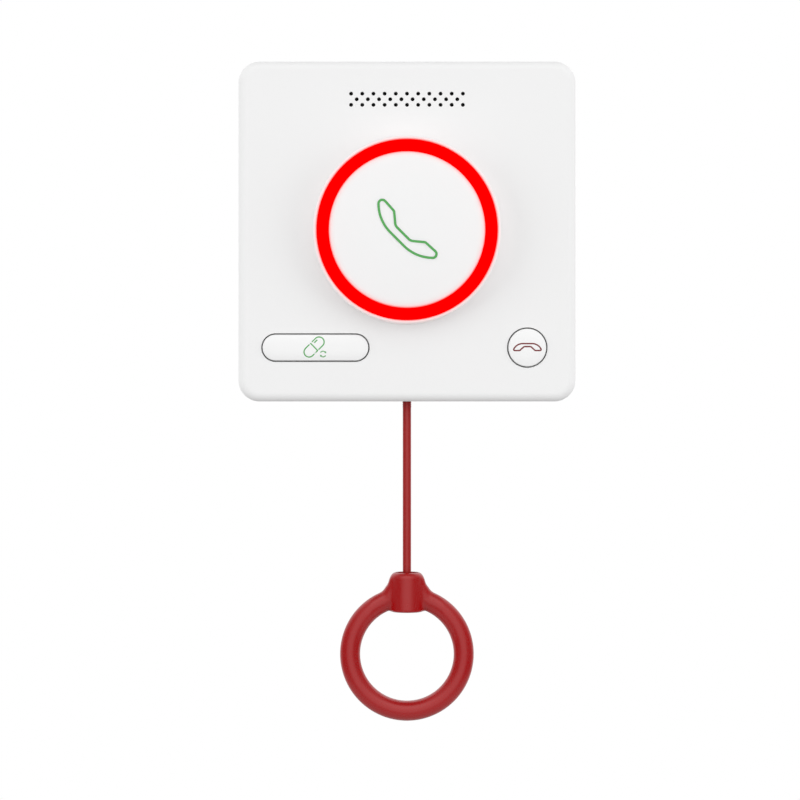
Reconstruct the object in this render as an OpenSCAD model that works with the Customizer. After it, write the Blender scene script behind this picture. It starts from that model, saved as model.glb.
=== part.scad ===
/* [Housing] */
// Width of the housing
housing_w = 120; // [118:1:122]
// Height of the housing
housing_h = 121; // [120:1:124]
// Depth from the wall to the front face
housing_d = 28; // [28:0.5:30]
// Radius of the four corners seen from the front
corner_r = 7.5; // [6.5:0.5:8.5]
// Radius of the rounding round the front face
edge_r = 3; // [2.6:0.1:3.2]
// Thickness of the moulded walls
wall = 2.2; // [2:0.1:2.4]
// Depth at which the front and back covers part
split_z = 8; // [8:0.5:9]

/* [Call button] */
// Radius of the white collar round the call button
collar_r = 33; // [33:0.5:34]
// Outer radius of the red light ring
ring_r = 31.9; // [31.7:0.1:31.9]
// Radius of the pressed cap
cap_r = 27.3; // [26.8:0.1:27.3]
// How far the collar stands off the front face
collar_h = 8; // [7:0.5:9]
// Rise of the cap's dome from its edge to its middle
cap_rise = 1.2; // [0.6:0.1:1.6]
// Travel of the call button
call_travel = 1.2; // [0.8:0.1:1.4]

/* [Small buttons] */
// Height of the small buttons' centres above the housing's centre
small_y = -41.4; // [-42:0.1:-40.5]
// Centre of the long medicine button
medicine_x = -32.5; // [-33:0.5:-31.5]
// Length of the medicine button
medicine_w = 37.5; // [36:0.5:38]
// Width of the medicine button
medicine_h = 9.2; // [8.8:0.1:9.4]
// Centre of the round cancel button
cancel_x = 42.7; // [42:0.1:43]
// Radius of the cancel button
cancel_r = 6.7; // [6.5:0.1:6.9]
// Gap all round a small button
button_gap = 0.4; // [0.3:0.05:0.5]
// How far the small buttons stand off the front face
button_proud = 0.6; // [0.3:0.1:1]
// Travel of the small buttons
small_travel = 0.8; // [0.5:0.1:1]

/* [Speaker grille] */
// Pitch of the holes along a row
hole_pitch = 3.97; // [3.6:0.01:4]
// Radius of one hole
hole_r = 0.7; // [0.5:0.02:0.8]
// Holes in the two longer rows
hole_count = 11; // [9:2:11]
// Height of the middle row above the housing's centre
grille_y = 46.8; // [46.4:0.1:47]

/* [Pull cord] */
// Diameter of the cord
cord_d = 3; // [2.8:0.1:3]
// Distance of the cord from the wall
cord_z = 17; // [17:0.1:17.2]
// Height of the point where the cord bends at the housing
exit_y = -58.6; // [-58.7:0.1:-58.5]
// Length of the cord from that point to the pull ring
cord_len = 63.5; // [50:0.5:90]
// Travel of the cord when it is pulled
pull_travel = 6; // [4:0.5:6]
// Radius of the middle of the pull ring's tube
ring_mid_r = 20.4; // [20:0.05:21]
// Radius of the pull ring's tube
ring_tube_r = 3.6; // [3.4:0.05:3.7]

/* [Wall mount] */
// Spacing of the two slots that fit a wall box
box_spacing = 60.3; // [60:0.1:60.3]
// Spacing of the four wall plug holes, both ways
plug_spacing = 76; // [74:1:78]
// Radius of the screw holes
screw_hole_r = 2.2; // [2:0.1:2.3]

/* [Hidden] */
$fn = 48;

// Clearances between pieces that fit, slide or pass loosely, and the overshoot of a cutter
fit = 0.05;
slide = 0.1;
loose = 0.2;
over = 1;

// Levels, measured out from the wall
front_in = housing_d - wall;
plate_t = 1.2;
plate_seat = 1.4;
rear_in = 3.4;
lip_top = split_z + 2.2;
gasket_t = 0.8;
board_z = 13;
board_t = 1.6;
board_top = board_z + board_t;
switch_top = board_top + 3.8;
switch_floor = board_top + 0.8;
stem_spare = 0.4;
stem_top = board_top + 5.9;
stem_r = 1.65;
frame_z = 22.3;
frame_top = front_in - 1.5;
collar_top = housing_d + collar_h;
step_z = collar_top - 3;
cap_edge = collar_top + 0.3;
cap_top = cap_edge + cap_rise;
cap_roof = cap_edge - 2.4;
spring_seat = frame_z + 0.8;
dome_r = (cap_r * cap_r + cap_rise * cap_rise) / (2 * cap_rise);
button_top = housing_d + button_proud;
button_low = front_in - 1.4;
ink_t = 0.3;

// Walls of the covers, and the groove of the gasket between them
back_wall = 3.6;
lip_gap = 0.15;
inner_edge = 1;
gasket_out = 0.6;
gasket_in = 1.7;

// Places on the panel
corner_x = housing_w / 2 - corner_r;
corner_y = housing_h / 2 - corner_r;
low_y = -housing_h / 2;
case_post_r = 3.5;
case_pilot_r = 1.4;
case_head_r = 2.7;
case_head_h = 1.8;
case_head_seat = 2;
case_screw_end = 18;
plate_w = 96;
plate_r = 4;
hook_x = 30;
hook_y = 40;
hook_w = 8;
hook_t = 1.2;
hook_reach = 4;
tab_half = 5;
lock_x = 30;
lock_z = 4.5;
lock_r = 1.5;
lock_len = 14;
lock_head_r = 2.3;
lock_seat = 1.8;
tab_y = -plate_w / 2;
cable_w = 36;
cable_h = 30;
cable_y = 6;
slot_len = 8;
ear_r = 38.4;
ear_lug_r = 3.4;
ear_pilot_r = 1.2;
led_r = 30.3;
led_count = 12;
spring_place_r = 15;
spring_r = 2.3;
leg_place_r = 21;
leg_r = 1.8;
flange_r = 35.2;
speaker_x = -7;
speaker_w = 28;
speaker_h = 18;
speaker_low = 21.3;
ear_x = 17.5;
ear_drop = 5.5;
speaker_pilot_r = 0.9;
mic_x = 17.8;

// Circuit board
board_w = 100;
board_low = -48;
board_high = 32;
notch_left = -12;
notch_right = 23;
notch_top = -35.4;
stand_x = 45;
stand_y = 26;
stand_pilot_r = 1.2;
stand_pilot_deep = 7;

// Pull mechanism, whose cord runs along the panel's upward direction
cord_r = cord_d / 2;
bend_y = exit_y - cord_len;
ring_y = bend_y - 29.1;
boss_r = 5.95;
boss_top = ring_y + 29.4;
boss_low = ring_y + 15.1;
guide_in = 4.6;
guide_out = 6.2;
guide_low = -56.4;
guide_floor = -55;
guide_top = -37.5;
carrier_r = 4.45;
carrier_low = -44.5;
carrier_top = guide_top - fit;
stop_low = -41.2;
base_z = 9.3;
base_top = 10.8;
guide_post_r = 2.6;
bush_r = 4.15;
stop_r = 2.6;
guide_holes = [[-6.8, -53.5], [-6.8, -41], [15, -40]];
ramp_x = 6.4;
ramp_y = -44.1;
ramp_slope = 1 / 3;
switch_x = 9.8;
switch_low = -56;
switch_high = -43.2;
switch_end = 16.3;
switch_half = 2.9;
switch_pilot_r = 0.9;
switch_holes = [[14.3, -53.6], [14.3, -45.6]];
lever_x = 9.1;
lever_y = -55.2;
lever_tip_x = 6.95;
plunger_y = -52;
plunger_r = 0.85;

// Route of the free cord, straight down under the ring's weight
cord_route = [
  for (y = [exit_y, -62, -68, -74, -80, -86, -92, -98, -104, -110, -116])
    if (y > bend_y + cord_d) [0, y, cord_z],
  [0, bend_y, cord_z]
];

// Handset seen from the side, lying along x: the tips and the back of its grip, then the inside
handset_points = [[-16.1, 1.75], [-9.08, -4.93], [9.08, -4.93], [16.1, 1.75],
  [7.75, 1.3], [3.75, -2.04], [-3.75, -2.04], [-7.75, 1.3]];
handset_radii = [1.35, 14.4, 14.4, 1.35, 0.9, 2.6, 2.6, 0.9];

// Handset laid down on its rest: its underside from left to right, then its back
laid_down_points = [[-5.13, -1.06], [-2.75, -1.06], [-1.2, 0.34], [1.2, 0.34],
  [2.75, -1.06], [5.13, -1.06], [3.79, 1.4], [-3.79, 1.4]];
laid_down_radii = [0.4, 0.4, 1, 1, 0.4, 0.4, 3.5, 3.5];

// Widths of the symbols' lines
call_line = 0.85;
small_line = 0.42;
cancel_line = 0.5;

// Turns a drawing made facing the viewer, with z out of the wall, into the upright frame
module upright() { rotate([90, 0, 0]) children(); }

// Stands a solid of revolution along the panel's upward direction
module along_up(x, y, z) { translate([x, y, z]) rotate([-90, 0, 0]) children(); }

module at_four(x, y) {
  for (sx = [-1, 1], sy = [-1, 1]) translate([sx * x, sy * y, 0]) children();
}

module at_corners() { at_four(corner_x, corner_y) children(); }

module at_each(points) {
  for (p = points) translate([p[0], p[1], 0]) children();
}

module at_diagonals(r) {
  for (a = [45:90:315]) rotate(a) translate([r, 0, 0]) children();
}

module rounded_rect(w, h, r) {
  square([w - 2 * r, h], center = true);
  square([w, h - 2 * r], center = true);
  for (sx = [-1, 1], sy = [-1, 1]) translate([sx * (w / 2 - r), sy * (h / 2 - r)]) circle(r);
}

// Outline of the housing, drawn in by inset
module cover_2d(inset) {
  rounded_rect(housing_w - 2 * inset, housing_h - 2 * inset, corner_r - inset);
}

module ring_2d(outer, inner) {
  difference() {
    circle(outer);
    circle(inner);
  }
}

module tube(outer, inner, z0, z1) {
  translate([0, 0, z0]) linear_extrude(z1 - z0) ring_2d(outer, inner);
}

module disc(r, z0, z1) { translate([0, 0, z0]) cylinder(r = r, h = z1 - z0); }

module block(x0, x1, y0, y1, z0, z1) {
  translate([x0, y0, z0]) cube([x1 - x0, y1 - y0, z1 - z0]);
}

// Half section of a plate of half width r whose far edge is rounded by edge
module rim_section(r, depth, edge) {
  square([r, depth - edge]);
  square([r - edge, depth]);
  translate([r - edge, depth - edge]) circle(edge);
}

// Plate with round corners and a rounding round its front face
module slab(w, h, r, depth, edge) {
  in_w = w - 2 * r;
  in_h = h - 2 * r;
  translate([-in_w / 2, -in_h / 2, 0]) cube([in_w, in_h, depth]);
  for (side = [0, 1]) {
    mirror([side, 0, 0]) translate([in_w / 2, in_h / 2, 0])
      rotate([90, 0, 0]) linear_extrude(in_h) rim_section(r, depth, edge);
    mirror([0, side, 0]) translate([-in_w / 2, in_h / 2, 0])
      rotate([90, 0, 90]) linear_extrude(in_w) rim_section(r, depth, edge);
  }
  for (sx = [0, 1], sy = [0, 1]) mirror([sx, 0, 0]) mirror([0, sy, 0])
    translate([in_w / 2, in_h / 2, 0]) rotate_extrude(angle = 90) rim_section(r, depth, edge);
}

// Self-tapping screw along +z with its head's rim at z0 and its point at z1
module screw(r, head_r, head_h, z0, z1) {
  slot_w = 0.5;
  slot_len = 1.2 * head_r;
  slot_deep = 0.6 * head_h;
  difference() {
    union() {
      disc(head_r, z0 - head_h, z0);
      disc(r, z0, z1);
    }
    translate([0, 0, z0 - head_h - over]) linear_extrude(slot_deep + over) {
      square([slot_len, slot_w], center = true);
      square([slot_w, slot_len], center = true);
    }
  }
}

// Unit vectors and angles of a closed path with rounded corners
function unit(v) = v / norm(v);
function heading(v) = atan2(v[1], v[0]);
function bend(a, b) = let (t = heading(b) - heading(a)) t > 180 ? t - 360 : t < -180 ? t + 360 : t;

// Points of a closed path whose corners are rounded, moved outwards by shift; it runs anticlockwise
function rounded_path(points, radii, shift, steps) = [
  for (i = [0:len(points) - 1])
    let (
      last = points[(i + len(points) - 1) % len(points)],
      here = points[i],
      next = points[(i + 1) % len(points)],
      into = unit(here - last),
      turning = bend(into, next - here),
      side = turning > 0 ? 1 : -1,
      centre = here - into * radii[i] * tan(abs(turning) / 2) + side * radii[i] * [-into[1], into[0]],
      first = heading(into) - side * 90,
      reach = radii[i] + side * shift
    )
    for (k = [0:steps]) centre + reach * [cos(first + turning * k / steps), sin(first + turning * k / steps)]
];

module path_line(points, radii, width, steps = 6) {
  difference() {
    polygon(rounded_path(points, radii, width / 2, steps));
    polygon(rounded_path(points, radii, -width / 2, steps));
  }
}

// Tube along points that lie in or near one plane with that normal; radii has one radius per point
module sweep(points, radii, sides, normal) {
  last = len(points) - 1;
  rings = [
    for (i = [0:last])
      let (
        along = unit(points[min(i + 1, last)] - points[max(i - 1, 0)]),
        u = unit(cross(normal, along)),
        v = cross(along, u)
      )
      for (k = [0:sides - 1])
        points[i] + radii[i] * (cos(360 * k / sides) * u + sin(360 * k / sides) * v)
  ];
  faces = concat(
    [for (i = [0:last - 1], k = [0:sides - 1]) let (n = (k + 1) % sides)
      [i * sides + k, (i + 1) * sides + k, i * sides + n]],
    [for (i = [0:last - 1], k = [0:sides - 1]) let (n = (k + 1) % sides)
      [i * sides + n, (i + 1) * sides + k, (i + 1) * sides + n]],
    [for (k = [1:sides - 2]) [0, k, k + 1]],
    [for (k = [1:sides - 2]) [last * sides, last * sides + k + 1, last * sides + k]]
  );
  polyhedron(rings, faces);
}

function same(value, points) = [for (p = points) value];

// Rings that round off one end of a cord, from its pole to its full radius
round_end = [10, 35, 65];

// Height up a spring after t turns: one closed turn at each end, and open turns between
function coil_rise(t, turns, height, wire) =
  t < 1 ? t * wire :
  t > turns - 1 ? height - (turns - t) * wire :
  wire + (t - 1) * (height - 2 * wire) / (turns - 2);

// Compression spring of the given height, standing on z = 0
module coil_spring(r, wire_r, turns, height) {
  per_turn = 12;
  sides = 6;
  closed_rise = 2.2 * wire_r;
  rise = height - 2 * wire_r;
  points = [
    for (i = [0:turns * per_turn])
      let (t = i / per_turn)
      [r * cos(360 * t), r * sin(360 * t), wire_r + coil_rise(t, turns, rise, closed_rise)]
  ];
  sweep(points, same(wire_r, points), sides, [0, 0, 1]);
}

// Wall side: the steel plate that stays on the wall

module wall_openings() {
  translate([-cable_w / 2, cable_y - cable_h / 2]) square([cable_w, cable_h]);
}

module wall_plate() {
  window_h = 6.2;
  finger_z = rear_in + fit;
  tab_top = lock_z + 3;
  color("silver") upright() difference() {
    union() {
      linear_extrude(plate_t) rounded_rect(plate_w, plate_w, plate_r);
      for (side = [-1, 1]) translate([side * hook_x - hook_w / 2, hook_y, 0]) {
        block(0, hook_w, -hook_t, 0, 0, finger_z + plate_t);
        block(0, hook_w, -hook_t, hook_reach, finger_z, finger_z + plate_t);
      }
      block(lock_x - tab_half, lock_x + tab_half, tab_y, tab_y + plate_t, 0, tab_top);
    }
    translate([0, 0, -over]) linear_extrude(plate_t + 2 * over) {
      wall_openings();
      for (side = [-1, 1]) {
        translate([side * hook_x - hook_w / 2, hook_y - hook_t - window_h]) square([hook_w, window_h]);
        translate([side * box_spacing / 2, 0]) pill_2d(slot_len, 2 * screw_hole_r);
      }
      at_four(plug_spacing / 2, plug_spacing / 2) circle(screw_hole_r);
    }
    along_up(lock_x, tab_y - over, lock_z) cylinder(r = lock_r + fit, h = plate_t + 2 * over);
  }
}

// Covers

module back_cover() {
  stand_r = 3;
  seat_w = plate_w + 1;
  hook_clear = 1;
  hook_window_h = 6;
  tab_clear = 0.5;
  guide_pilot_z = rear_in + 0.6;
  color("whitesmoke") upright() difference() {
    union() {
      difference() {
        linear_extrude(split_z) cover_2d(0);
        translate([0, 0, rear_in]) linear_extrude(split_z) cover_2d(back_wall);
        translate([0, 0, split_z - gasket_t]) linear_extrude(gasket_t + over) gasket_2d();
      }
      translate([0, 0, rear_in]) linear_extrude(lip_top - rear_in) difference() {
        cover_2d(wall + lip_gap);
        cover_2d(back_wall);
      }
      at_corners() cylinder(r = corner_r - back_wall, h = split_z);
      at_four(stand_x, stand_y) disc(stand_r, rear_in, board_z);
      at_each(guide_holes) disc(guide_post_r, rear_in, base_z);
    }
    translate([0, 0, -over]) linear_extrude(plate_seat + over) rounded_rect(seat_w, seat_w, plate_r);
    translate([0, 0, -over]) linear_extrude(rear_in + 2 * over) {
      wall_openings();
      for (side = [-1, 1]) translate([side * hook_x - hook_w / 2 - hook_clear, hook_y - hook_window_h])
        square([hook_w + 2 * hook_clear, hook_window_h]);
      translate([lock_x - tab_half - tab_clear, tab_y - tab_clear])
        square([2 * (tab_half + tab_clear), plate_t + 2 * tab_clear]);
    }
    at_corners() {
      disc(case_head_r + loose, -over, case_head_seat);
      disc(case_pilot_r + loose, case_head_seat - over, split_z + over);
    }
    at_four(stand_x, stand_y) disc(stand_pilot_r, board_z - stand_pilot_deep, board_z + over);
    at_each(guide_holes) disc(ear_pilot_r, guide_pilot_z, base_z + over);
    along_up(lock_x, low_y - over, lock_z) cylinder(r = lock_head_r + loose, h = lock_seat + over);
    along_up(lock_x, low_y, lock_z) cylinder(r = lock_r + loose, h = lock_len + lock_seat + over);
  }
}

module grille_holes(depth) {
  for (row = [-1, 0, 1]) {
    count = row == 0 ? hole_count - 1 : hole_count;
    start = -(count - 1) / 2 * hole_pitch;
    for (i = [0:count - 1])
      translate([start + i * hole_pitch, grille_y + row * hole_pitch / 2, front_in - over])
        cylinder(r = hole_r, h = depth);
  }
}

module front_cover() {
  ear_post_r = 2.8;
  speaker_ear_top = speaker_low + ear_t;
  skin = 0.6;
  through = wall + 2 * over;
  hollow = front_in - split_z + over;
  case_pilot_end = case_screw_end + 2;
  color("white") upright() difference() {
    union() {
      difference() {
        translate([0, 0, split_z]) slab(housing_w, housing_h, corner_r, housing_d - split_z, edge_r);
        translate([0, 0, split_z - over])
          slab(housing_w - 2 * wall, housing_h - 2 * wall, corner_r - wall, hollow, inner_edge);
      }
      at_corners() disc(case_post_r, split_z, front_in + over);
      at_diagonals(ear_r) disc(ear_post_r, frame_top, front_in + over);
      at_speaker_ears() disc(speaker_post_r, speaker_ear_top, front_in + over);
    }
    disc(collar_r + slide, front_in - over, housing_d + over);
    grille_holes(through);
    translate([medicine_x, small_y, front_in - over])
      linear_extrude(through) pill_2d(medicine_w + 2 * button_gap, medicine_h + 2 * button_gap);
    translate([cancel_x, small_y, 0]) disc(cancel_r + button_gap, front_in - over, housing_d + over);
    along_up(0, low_y - over, cord_z) cylinder(r = bush_r + fit, h = through);
    at_corners() disc(case_pilot_r, split_z - over, case_pilot_end);
    at_diagonals(ear_r) disc(ear_pilot_r, frame_top - over, housing_d - skin);
    at_speaker_ears() disc(speaker_pilot_r, speaker_ear_top - over, front_in + skin);
  }
}

module gasket_2d() {
  difference() {
    cover_2d(gasket_out);
    cover_2d(gasket_in);
  }
}

module case_gasket() {
  color("gray") upright() translate([0, 0, split_z - gasket_t]) linear_extrude(gasket_t) gasket_2d();
}

module case_screws() {
  color("silver") upright() at_corners()
    screw(case_pilot_r - fit, case_head_r, case_head_h, case_head_seat, case_screw_end);
}

module lock_screw() {
  color("silver") upright() along_up(lock_x, low_y + lock_seat, lock_z)
    screw(lock_r, lock_head_r, lock_seat - 0.3, 0, lock_len);
}

// Call button: collar, light ring and the carrier behind them, all fixed, and the cap that is pressed

module call_bezel() {
  round_r = 0.5;
  inner_r = ring_r + fit;
  mid = (collar_r + inner_r) / 2;
  color("white") upright() rotate_extrude() {
    translate([inner_r, frame_top]) square([collar_r - inner_r, collar_top - frame_top - round_r]);
    translate([inner_r, frame_top]) square([flange_r - inner_r, front_in - frame_top]);
    translate([mid, collar_top - round_r]) circle(round_r);
  }
}

module light_ring() {
  web_r = cap_r + 1.4;
  face_r = cap_r + slide;
  color("red") upright() rotate_extrude() {
    translate([web_r, frame_top]) square([ring_r - web_r, collar_top - frame_top]);
    translate([face_r, step_z]) square([ring_r - face_r, collar_top - step_z]);
  }
}

module button_frame() {
  lug_root = 1.5;
  led_hole_r = 1.3;
  spring_cup_r = spring_r + 0.6;
  stem_hole_r = 3.2;
  color("gainsboro") upright() difference() {
    union() {
      disc(flange_r, frame_z, frame_top);
      at_diagonals(ear_r) disc(ear_lug_r, frame_z, frame_top);
      at_diagonals(flange_r)
        block(-lug_root, ear_r - flange_r, -ear_lug_r, ear_lug_r, frame_z, frame_top);
    }
    at_diagonals(ear_r) disc(ear_pilot_r + slide, frame_z - over, frame_top + over);
    at_leds() disc(led_hole_r, frame_z - over, frame_top + over);
    at_diagonals(spring_place_r) disc(spring_cup_r, spring_seat, frame_top + over);
    at_legs() disc(leg_r + slide, frame_z - over, frame_top + over);
    disc(stem_hole_r, frame_z - over, frame_top + over);
  }
}

module at_leds() {
  for (i = [0:led_count - 1]) rotate(i * 360 / led_count) translate([led_r, 0, 0]) children();
}

module at_legs() {
  for (a = [90:120:330]) rotate(a) translate([leg_place_r, 0, 0]) children();
}

module frame_screws() {
  head_r = 2.2;
  head_h = 1.3;
  color("silver") upright() at_diagonals(ear_r)
    screw(ear_pilot_r - fit, head_r, head_h, frame_z, housing_d - 1);
}

module domed_cap() {
  round_r = 0.5;
  rotate_extrude() {
    intersection() {
      translate([0, cap_roof]) square([cap_r - round_r, cap_top - cap_roof]);
      translate([0, cap_top - dome_r]) circle(dome_r, $fn = 720);
    }
    translate([0, cap_roof]) square([cap_r, cap_edge - cap_roof - round_r]);
    translate([cap_r - round_r, cap_edge - round_r]) circle(round_r);
  }
}

// The symbol is moulded into the cap, deeper than the dome rises
module call_ink() {
  depth = 1.2;
  translate([0, 0, cap_edge - depth]) linear_extrude(cap_rise + depth + over) rotate(-45)
    path_line(handset_points, handset_radii, call_line);
}

module call_cap() {
  skirt_low = step_z - 1.8;
  skirt_r = 25.2;
  rim_r = cap_r + 1.1;
  leg_low = frame_z - 1.5;
  press_r = 2.5;
  spring_peg_r = spring_r - 0.8;
  spring_peg_h = 2;
  color("white") upright() difference() {
    union() {
      domed_cap();
      tube(cap_r, skirt_r, skirt_low, cap_roof + over);
      tube(rim_r, skirt_r, skirt_low, step_z - slide);
      disc(press_r, stem_top, cap_roof + over);
      at_legs() disc(leg_r, leg_low, cap_roof + over);
      at_diagonals(spring_place_r) disc(spring_peg_r, cap_roof - spring_peg_h, cap_roof + over);
    }
    call_ink();
  }
}

module call_symbol() {
  color("mediumseagreen") upright() intersection() {
    domed_cap();
    call_ink();
  }
}

module call_springs() {
  wire_r = 0.25;
  turns = 6;
  color("silver") upright() at_diagonals(spring_place_r) translate([0, 0, spring_seat])
    coil_spring(spring_r, wire_r, turns, cap_roof - spring_seat);
}

// Switch stems, one under each button; each moves with its button
module stem(travel) { disc(stem_r, switch_floor + travel + stem_spare, stem_top); }

module call_stem() { color("dimgray") upright() stem(call_travel); }

// Small buttons

module pill_2d(w, h) {
  square([w - h, h], center = true);
  for (side = [-1, 1]) translate([side * (w - h) / 2, 0]) circle(h / 2);
}

// Long button with round ends and a rounding round its front face
module pill(w, h, depth, edge) {
  reach = (w - h) / 2;
  for (side = [-1, 1]) translate([side * reach, 0, 0]) rotate_extrude() rim_section(h / 2, depth, edge);
  for (flip = [0, 1]) mirror([0, flip, 0]) translate([-reach, 0, 0])
    rotate([90, 0, 90]) linear_extrude(2 * reach) rim_section(h / 2, depth, edge);
}

// What both small buttons have behind the panel: a flange that keeps them in, and a plunger
module button_back(w, h) {
  press_r = 2.2;
  translate([0, 0, button_low]) linear_extrude(front_in - button_low - slide) pill_2d(w, h);
  disc(press_r, stem_top, button_low + over);
}

button_edge = 0.6;
button_flange = 0.9;

module medicine_cap() {
  wide = medicine_w + 2 * (button_gap + button_flange);
  high = medicine_h + 2 * (button_gap + button_flange);
  color("white") upright() translate([medicine_x, small_y, 0]) difference() {
    union() {
      translate([0, 0, button_low]) pill(medicine_w, medicine_h, button_top - button_low, button_edge);
      button_back(wide, high);
    }
    translate([0, 0, button_top - ink_t]) linear_extrude(over) capsule_2d();
  }
}

// Capsule in two halves, with a pair of turning arrows beside it
module capsule_2d() {
  half_w = 1.8;
  half_l = 4.3;
  capsule_at = [-0.45, 0.2];
  shine_at = [1.85, half_w - 0.8];
  shine_len = 1.5;
  arrows_at = [2.75, -2.3];
  arrow_r = 1.2;
  arrow_start = 30;
  tip = [[-0.5, 0.15], [0.5, 0.15], [0, -0.5]];
  box = [[-half_l, half_w], [-half_l, -half_w], [half_l, -half_w], [half_l, half_w]];
  translate(capsule_at) rotate(45) {
    path_line(box, same(half_w - 0.02, box), small_line, 8);
    square([small_line, 2 * half_w], center = true);
    translate(shine_at) square([shine_len, small_line], center = true);
  }
  translate(arrows_at) for (turn = [0, 180]) rotate(turn) {
    intersection() {
      ring_2d(arrow_r, arrow_r - small_line);
      rotate(arrow_start) square(2 * arrow_r);
    }
    rotate(arrow_start - 5) translate([arrow_r - small_line / 2, 0]) polygon(tip);
  }
}

module medicine_symbol() {
  color("mediumseagreen") upright() translate([medicine_x, small_y, button_top - ink_t])
    linear_extrude(ink_t) capsule_2d();
}

module return_boot() {
  outer_r = 5.1;
  inner_r = 4.4;
  tube(outer_r, inner_r, board_top, button_low);
}

module medicine_boot() { color("lightgray") upright() translate([medicine_x, small_y, 0]) return_boot(); }

module medicine_stem() { color("dimgray") upright() translate([medicine_x, small_y, 0]) stem(small_travel); }

module cancel_cap() {
  flange = 2 * (cancel_r + button_gap + button_flange);
  depth = button_top - button_low;
  color("white") upright() translate([cancel_x, small_y, 0]) difference() {
    union() {
      translate([0, 0, button_low]) rotate_extrude() rim_section(cancel_r, depth, button_edge);
      button_back(flange + fit, flange);
    }
    translate([0, 0, button_top - ink_t]) linear_extrude(over) hang_up_2d();
  }
}

module hang_up_2d() { path_line(laid_down_points, laid_down_radii, cancel_line); }

module cancel_symbol() {
  color("firebrick") upright() translate([cancel_x, small_y, button_top - ink_t])
    linear_extrude(ink_t) hang_up_2d();
}

module cancel_boot() { color("lightgray") upright() translate([cancel_x, small_y, 0]) return_boot(); }

module cancel_stem() { color("dimgray") upright() translate([cancel_x, small_y, 0]) stem(small_travel); }

// Circuit board and what is soldered to it

module main_board() {
  corner = 2;
  color("seagreen") upright() difference() {
    translate([0, (board_low + board_high) / 2, board_z])
      linear_extrude(board_t) rounded_rect(board_w, board_high - board_low, corner);
    block(notch_left, notch_right, board_low - over, notch_top, board_z - over, board_top + over);
    at_four(stand_x, stand_y) disc(stand_pilot_r + loose, board_z - over, board_top + over);
  }
}

module board_screws() {
  head_r = 2.3;
  head_h = 1.4;
  length = 8;
  color("silver") upright() at_four(stand_x, stand_y) translate([0, 0, board_top]) mirror([0, 0, 1])
    screw(stand_pilot_r - fit, head_r, head_h, 0, length);
}

module ring_leds() {
  led_w = 3;
  led_h = 1.6;
  led_t = 1.1;
  color("mistyrose") upright() at_leds()
    translate([-led_h / 2, -led_w / 2, board_top]) cube([led_h, led_w, led_t]);
}

module tact_switches() {
  half = 3;
  places = [[0, 0], [medicine_x, small_y], [cancel_x, small_y]];
  color("dimgray") upright() at_each(places) difference() {
    block(-half, half, -half, half, board_top, switch_top);
    disc(stem_r + slide, switch_floor, switch_top + over);
  }
}

module board_chips() {
  // Corner x and y, then width and height, of each chip
  chips = [[-8, -24, 10, 10], [10, -22, 6, 5], [6, 10, 8, 6], [33, 14, 5, 4], [-24, -30, 6, 4]];
  chip_t = 1.1;
  color("dimgray") upright() for (c = chips) translate([c[0], c[1], board_top]) cube([c[2], c[3], chip_t]);
}

// A small board of its own with a tinned can; its aerial end stays clear of the can
module radio_module() {
  module_x = -49.5;
  module_w = 18;
  module_y = -14;
  module_h = 28;
  module_t = 0.8;
  can_h = 19;
  can_t = 2.2;
  rim = 1;
  color("silver") upright() {
    translate([module_x, module_y, board_top]) cube([module_w, module_h, module_t]);
    translate([module_x + rim, module_y + rim, board_top + module_t])
      cube([module_w - 2 * rim, can_h, can_t]);
  }
}

module capacitors() {
  can_r = 3.15;
  can_h = 7;
  row_x = 41;
  row_pitch = 8;
  color("slategray") upright() for (i = [-1:1])
    translate([row_x, i * row_pitch, 0]) disc(can_r, board_top, board_top + can_h);
}

terminal_poles = 7;
terminal_pitch = 5;
terminal_low = 4.2;
terminal_y = 0;
terminal_well = 3.5;

module at_poles() {
  for (i = [0:terminal_poles - 1])
    translate([(i - (terminal_poles - 1) / 2) * terminal_pitch, terminal_y, 0]) children();
}

// Faces the wall through the cable opening; the wires go in at its lower side
module terminal_block() {
  half_w = terminal_poles * terminal_pitch / 2;
  half_h = 4.5;
  well_r = 1.7;
  wire_half = 1.5;
  wire_deep = 2.7;
  wire_low = terminal_low + 4;
  wire_high = terminal_low + 7;
  color("forestgreen") upright() difference() {
    block(-half_w, half_w, terminal_y - half_h, terminal_y + half_h, terminal_low, board_z);
    at_poles() disc(well_r, terminal_low - over, terminal_low + terminal_well);
    at_poles() block(-wire_half, wire_half, -half_h - over, wire_deep - half_h, wire_low, wire_high);
  }
}

module terminal_screws() {
  head_r = 1.6;
  head_h = 1.2;
  shank_r = 1.2;
  head_z = terminal_low + 1.7;
  color("silver") upright() at_poles() screw(shank_r, head_r, head_h, head_z, terminal_low + terminal_well);
}

// Sockets on the board: two for the speaker and the microphone, and one for the pull switch
audio_x = [-7.5, 7.5];
audio_y = 28;
cable_x = 27;
cable_socket_y = -38;

module board_connectors() {
  long = 8;
  short = 5;
  tall = 5.6;
  color("ivory") upright() {
    for (x = audio_x) translate([x - long / 2, audio_y - short / 2, board_top]) cube([long, short, tall]);
    translate([cable_x - short / 2, cable_socket_y - long / 2, board_top]) cube([short, long, tall]);
  }
}

// Loudspeaker and microphone behind the grille

speaker_top = 24.6;
speaker_corner = 3;
mesh_t = 0.2;
cone_r = 7;
pole_r = 5;
pole_t = 0.8;
ear_t = 1.5;
speaker_post_r = 2.4;

module at_speaker_ears() {
  for (side = [-1, 1]) translate([speaker_x + side * ear_x, grille_y - ear_drop, 0]) children();
}

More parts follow.
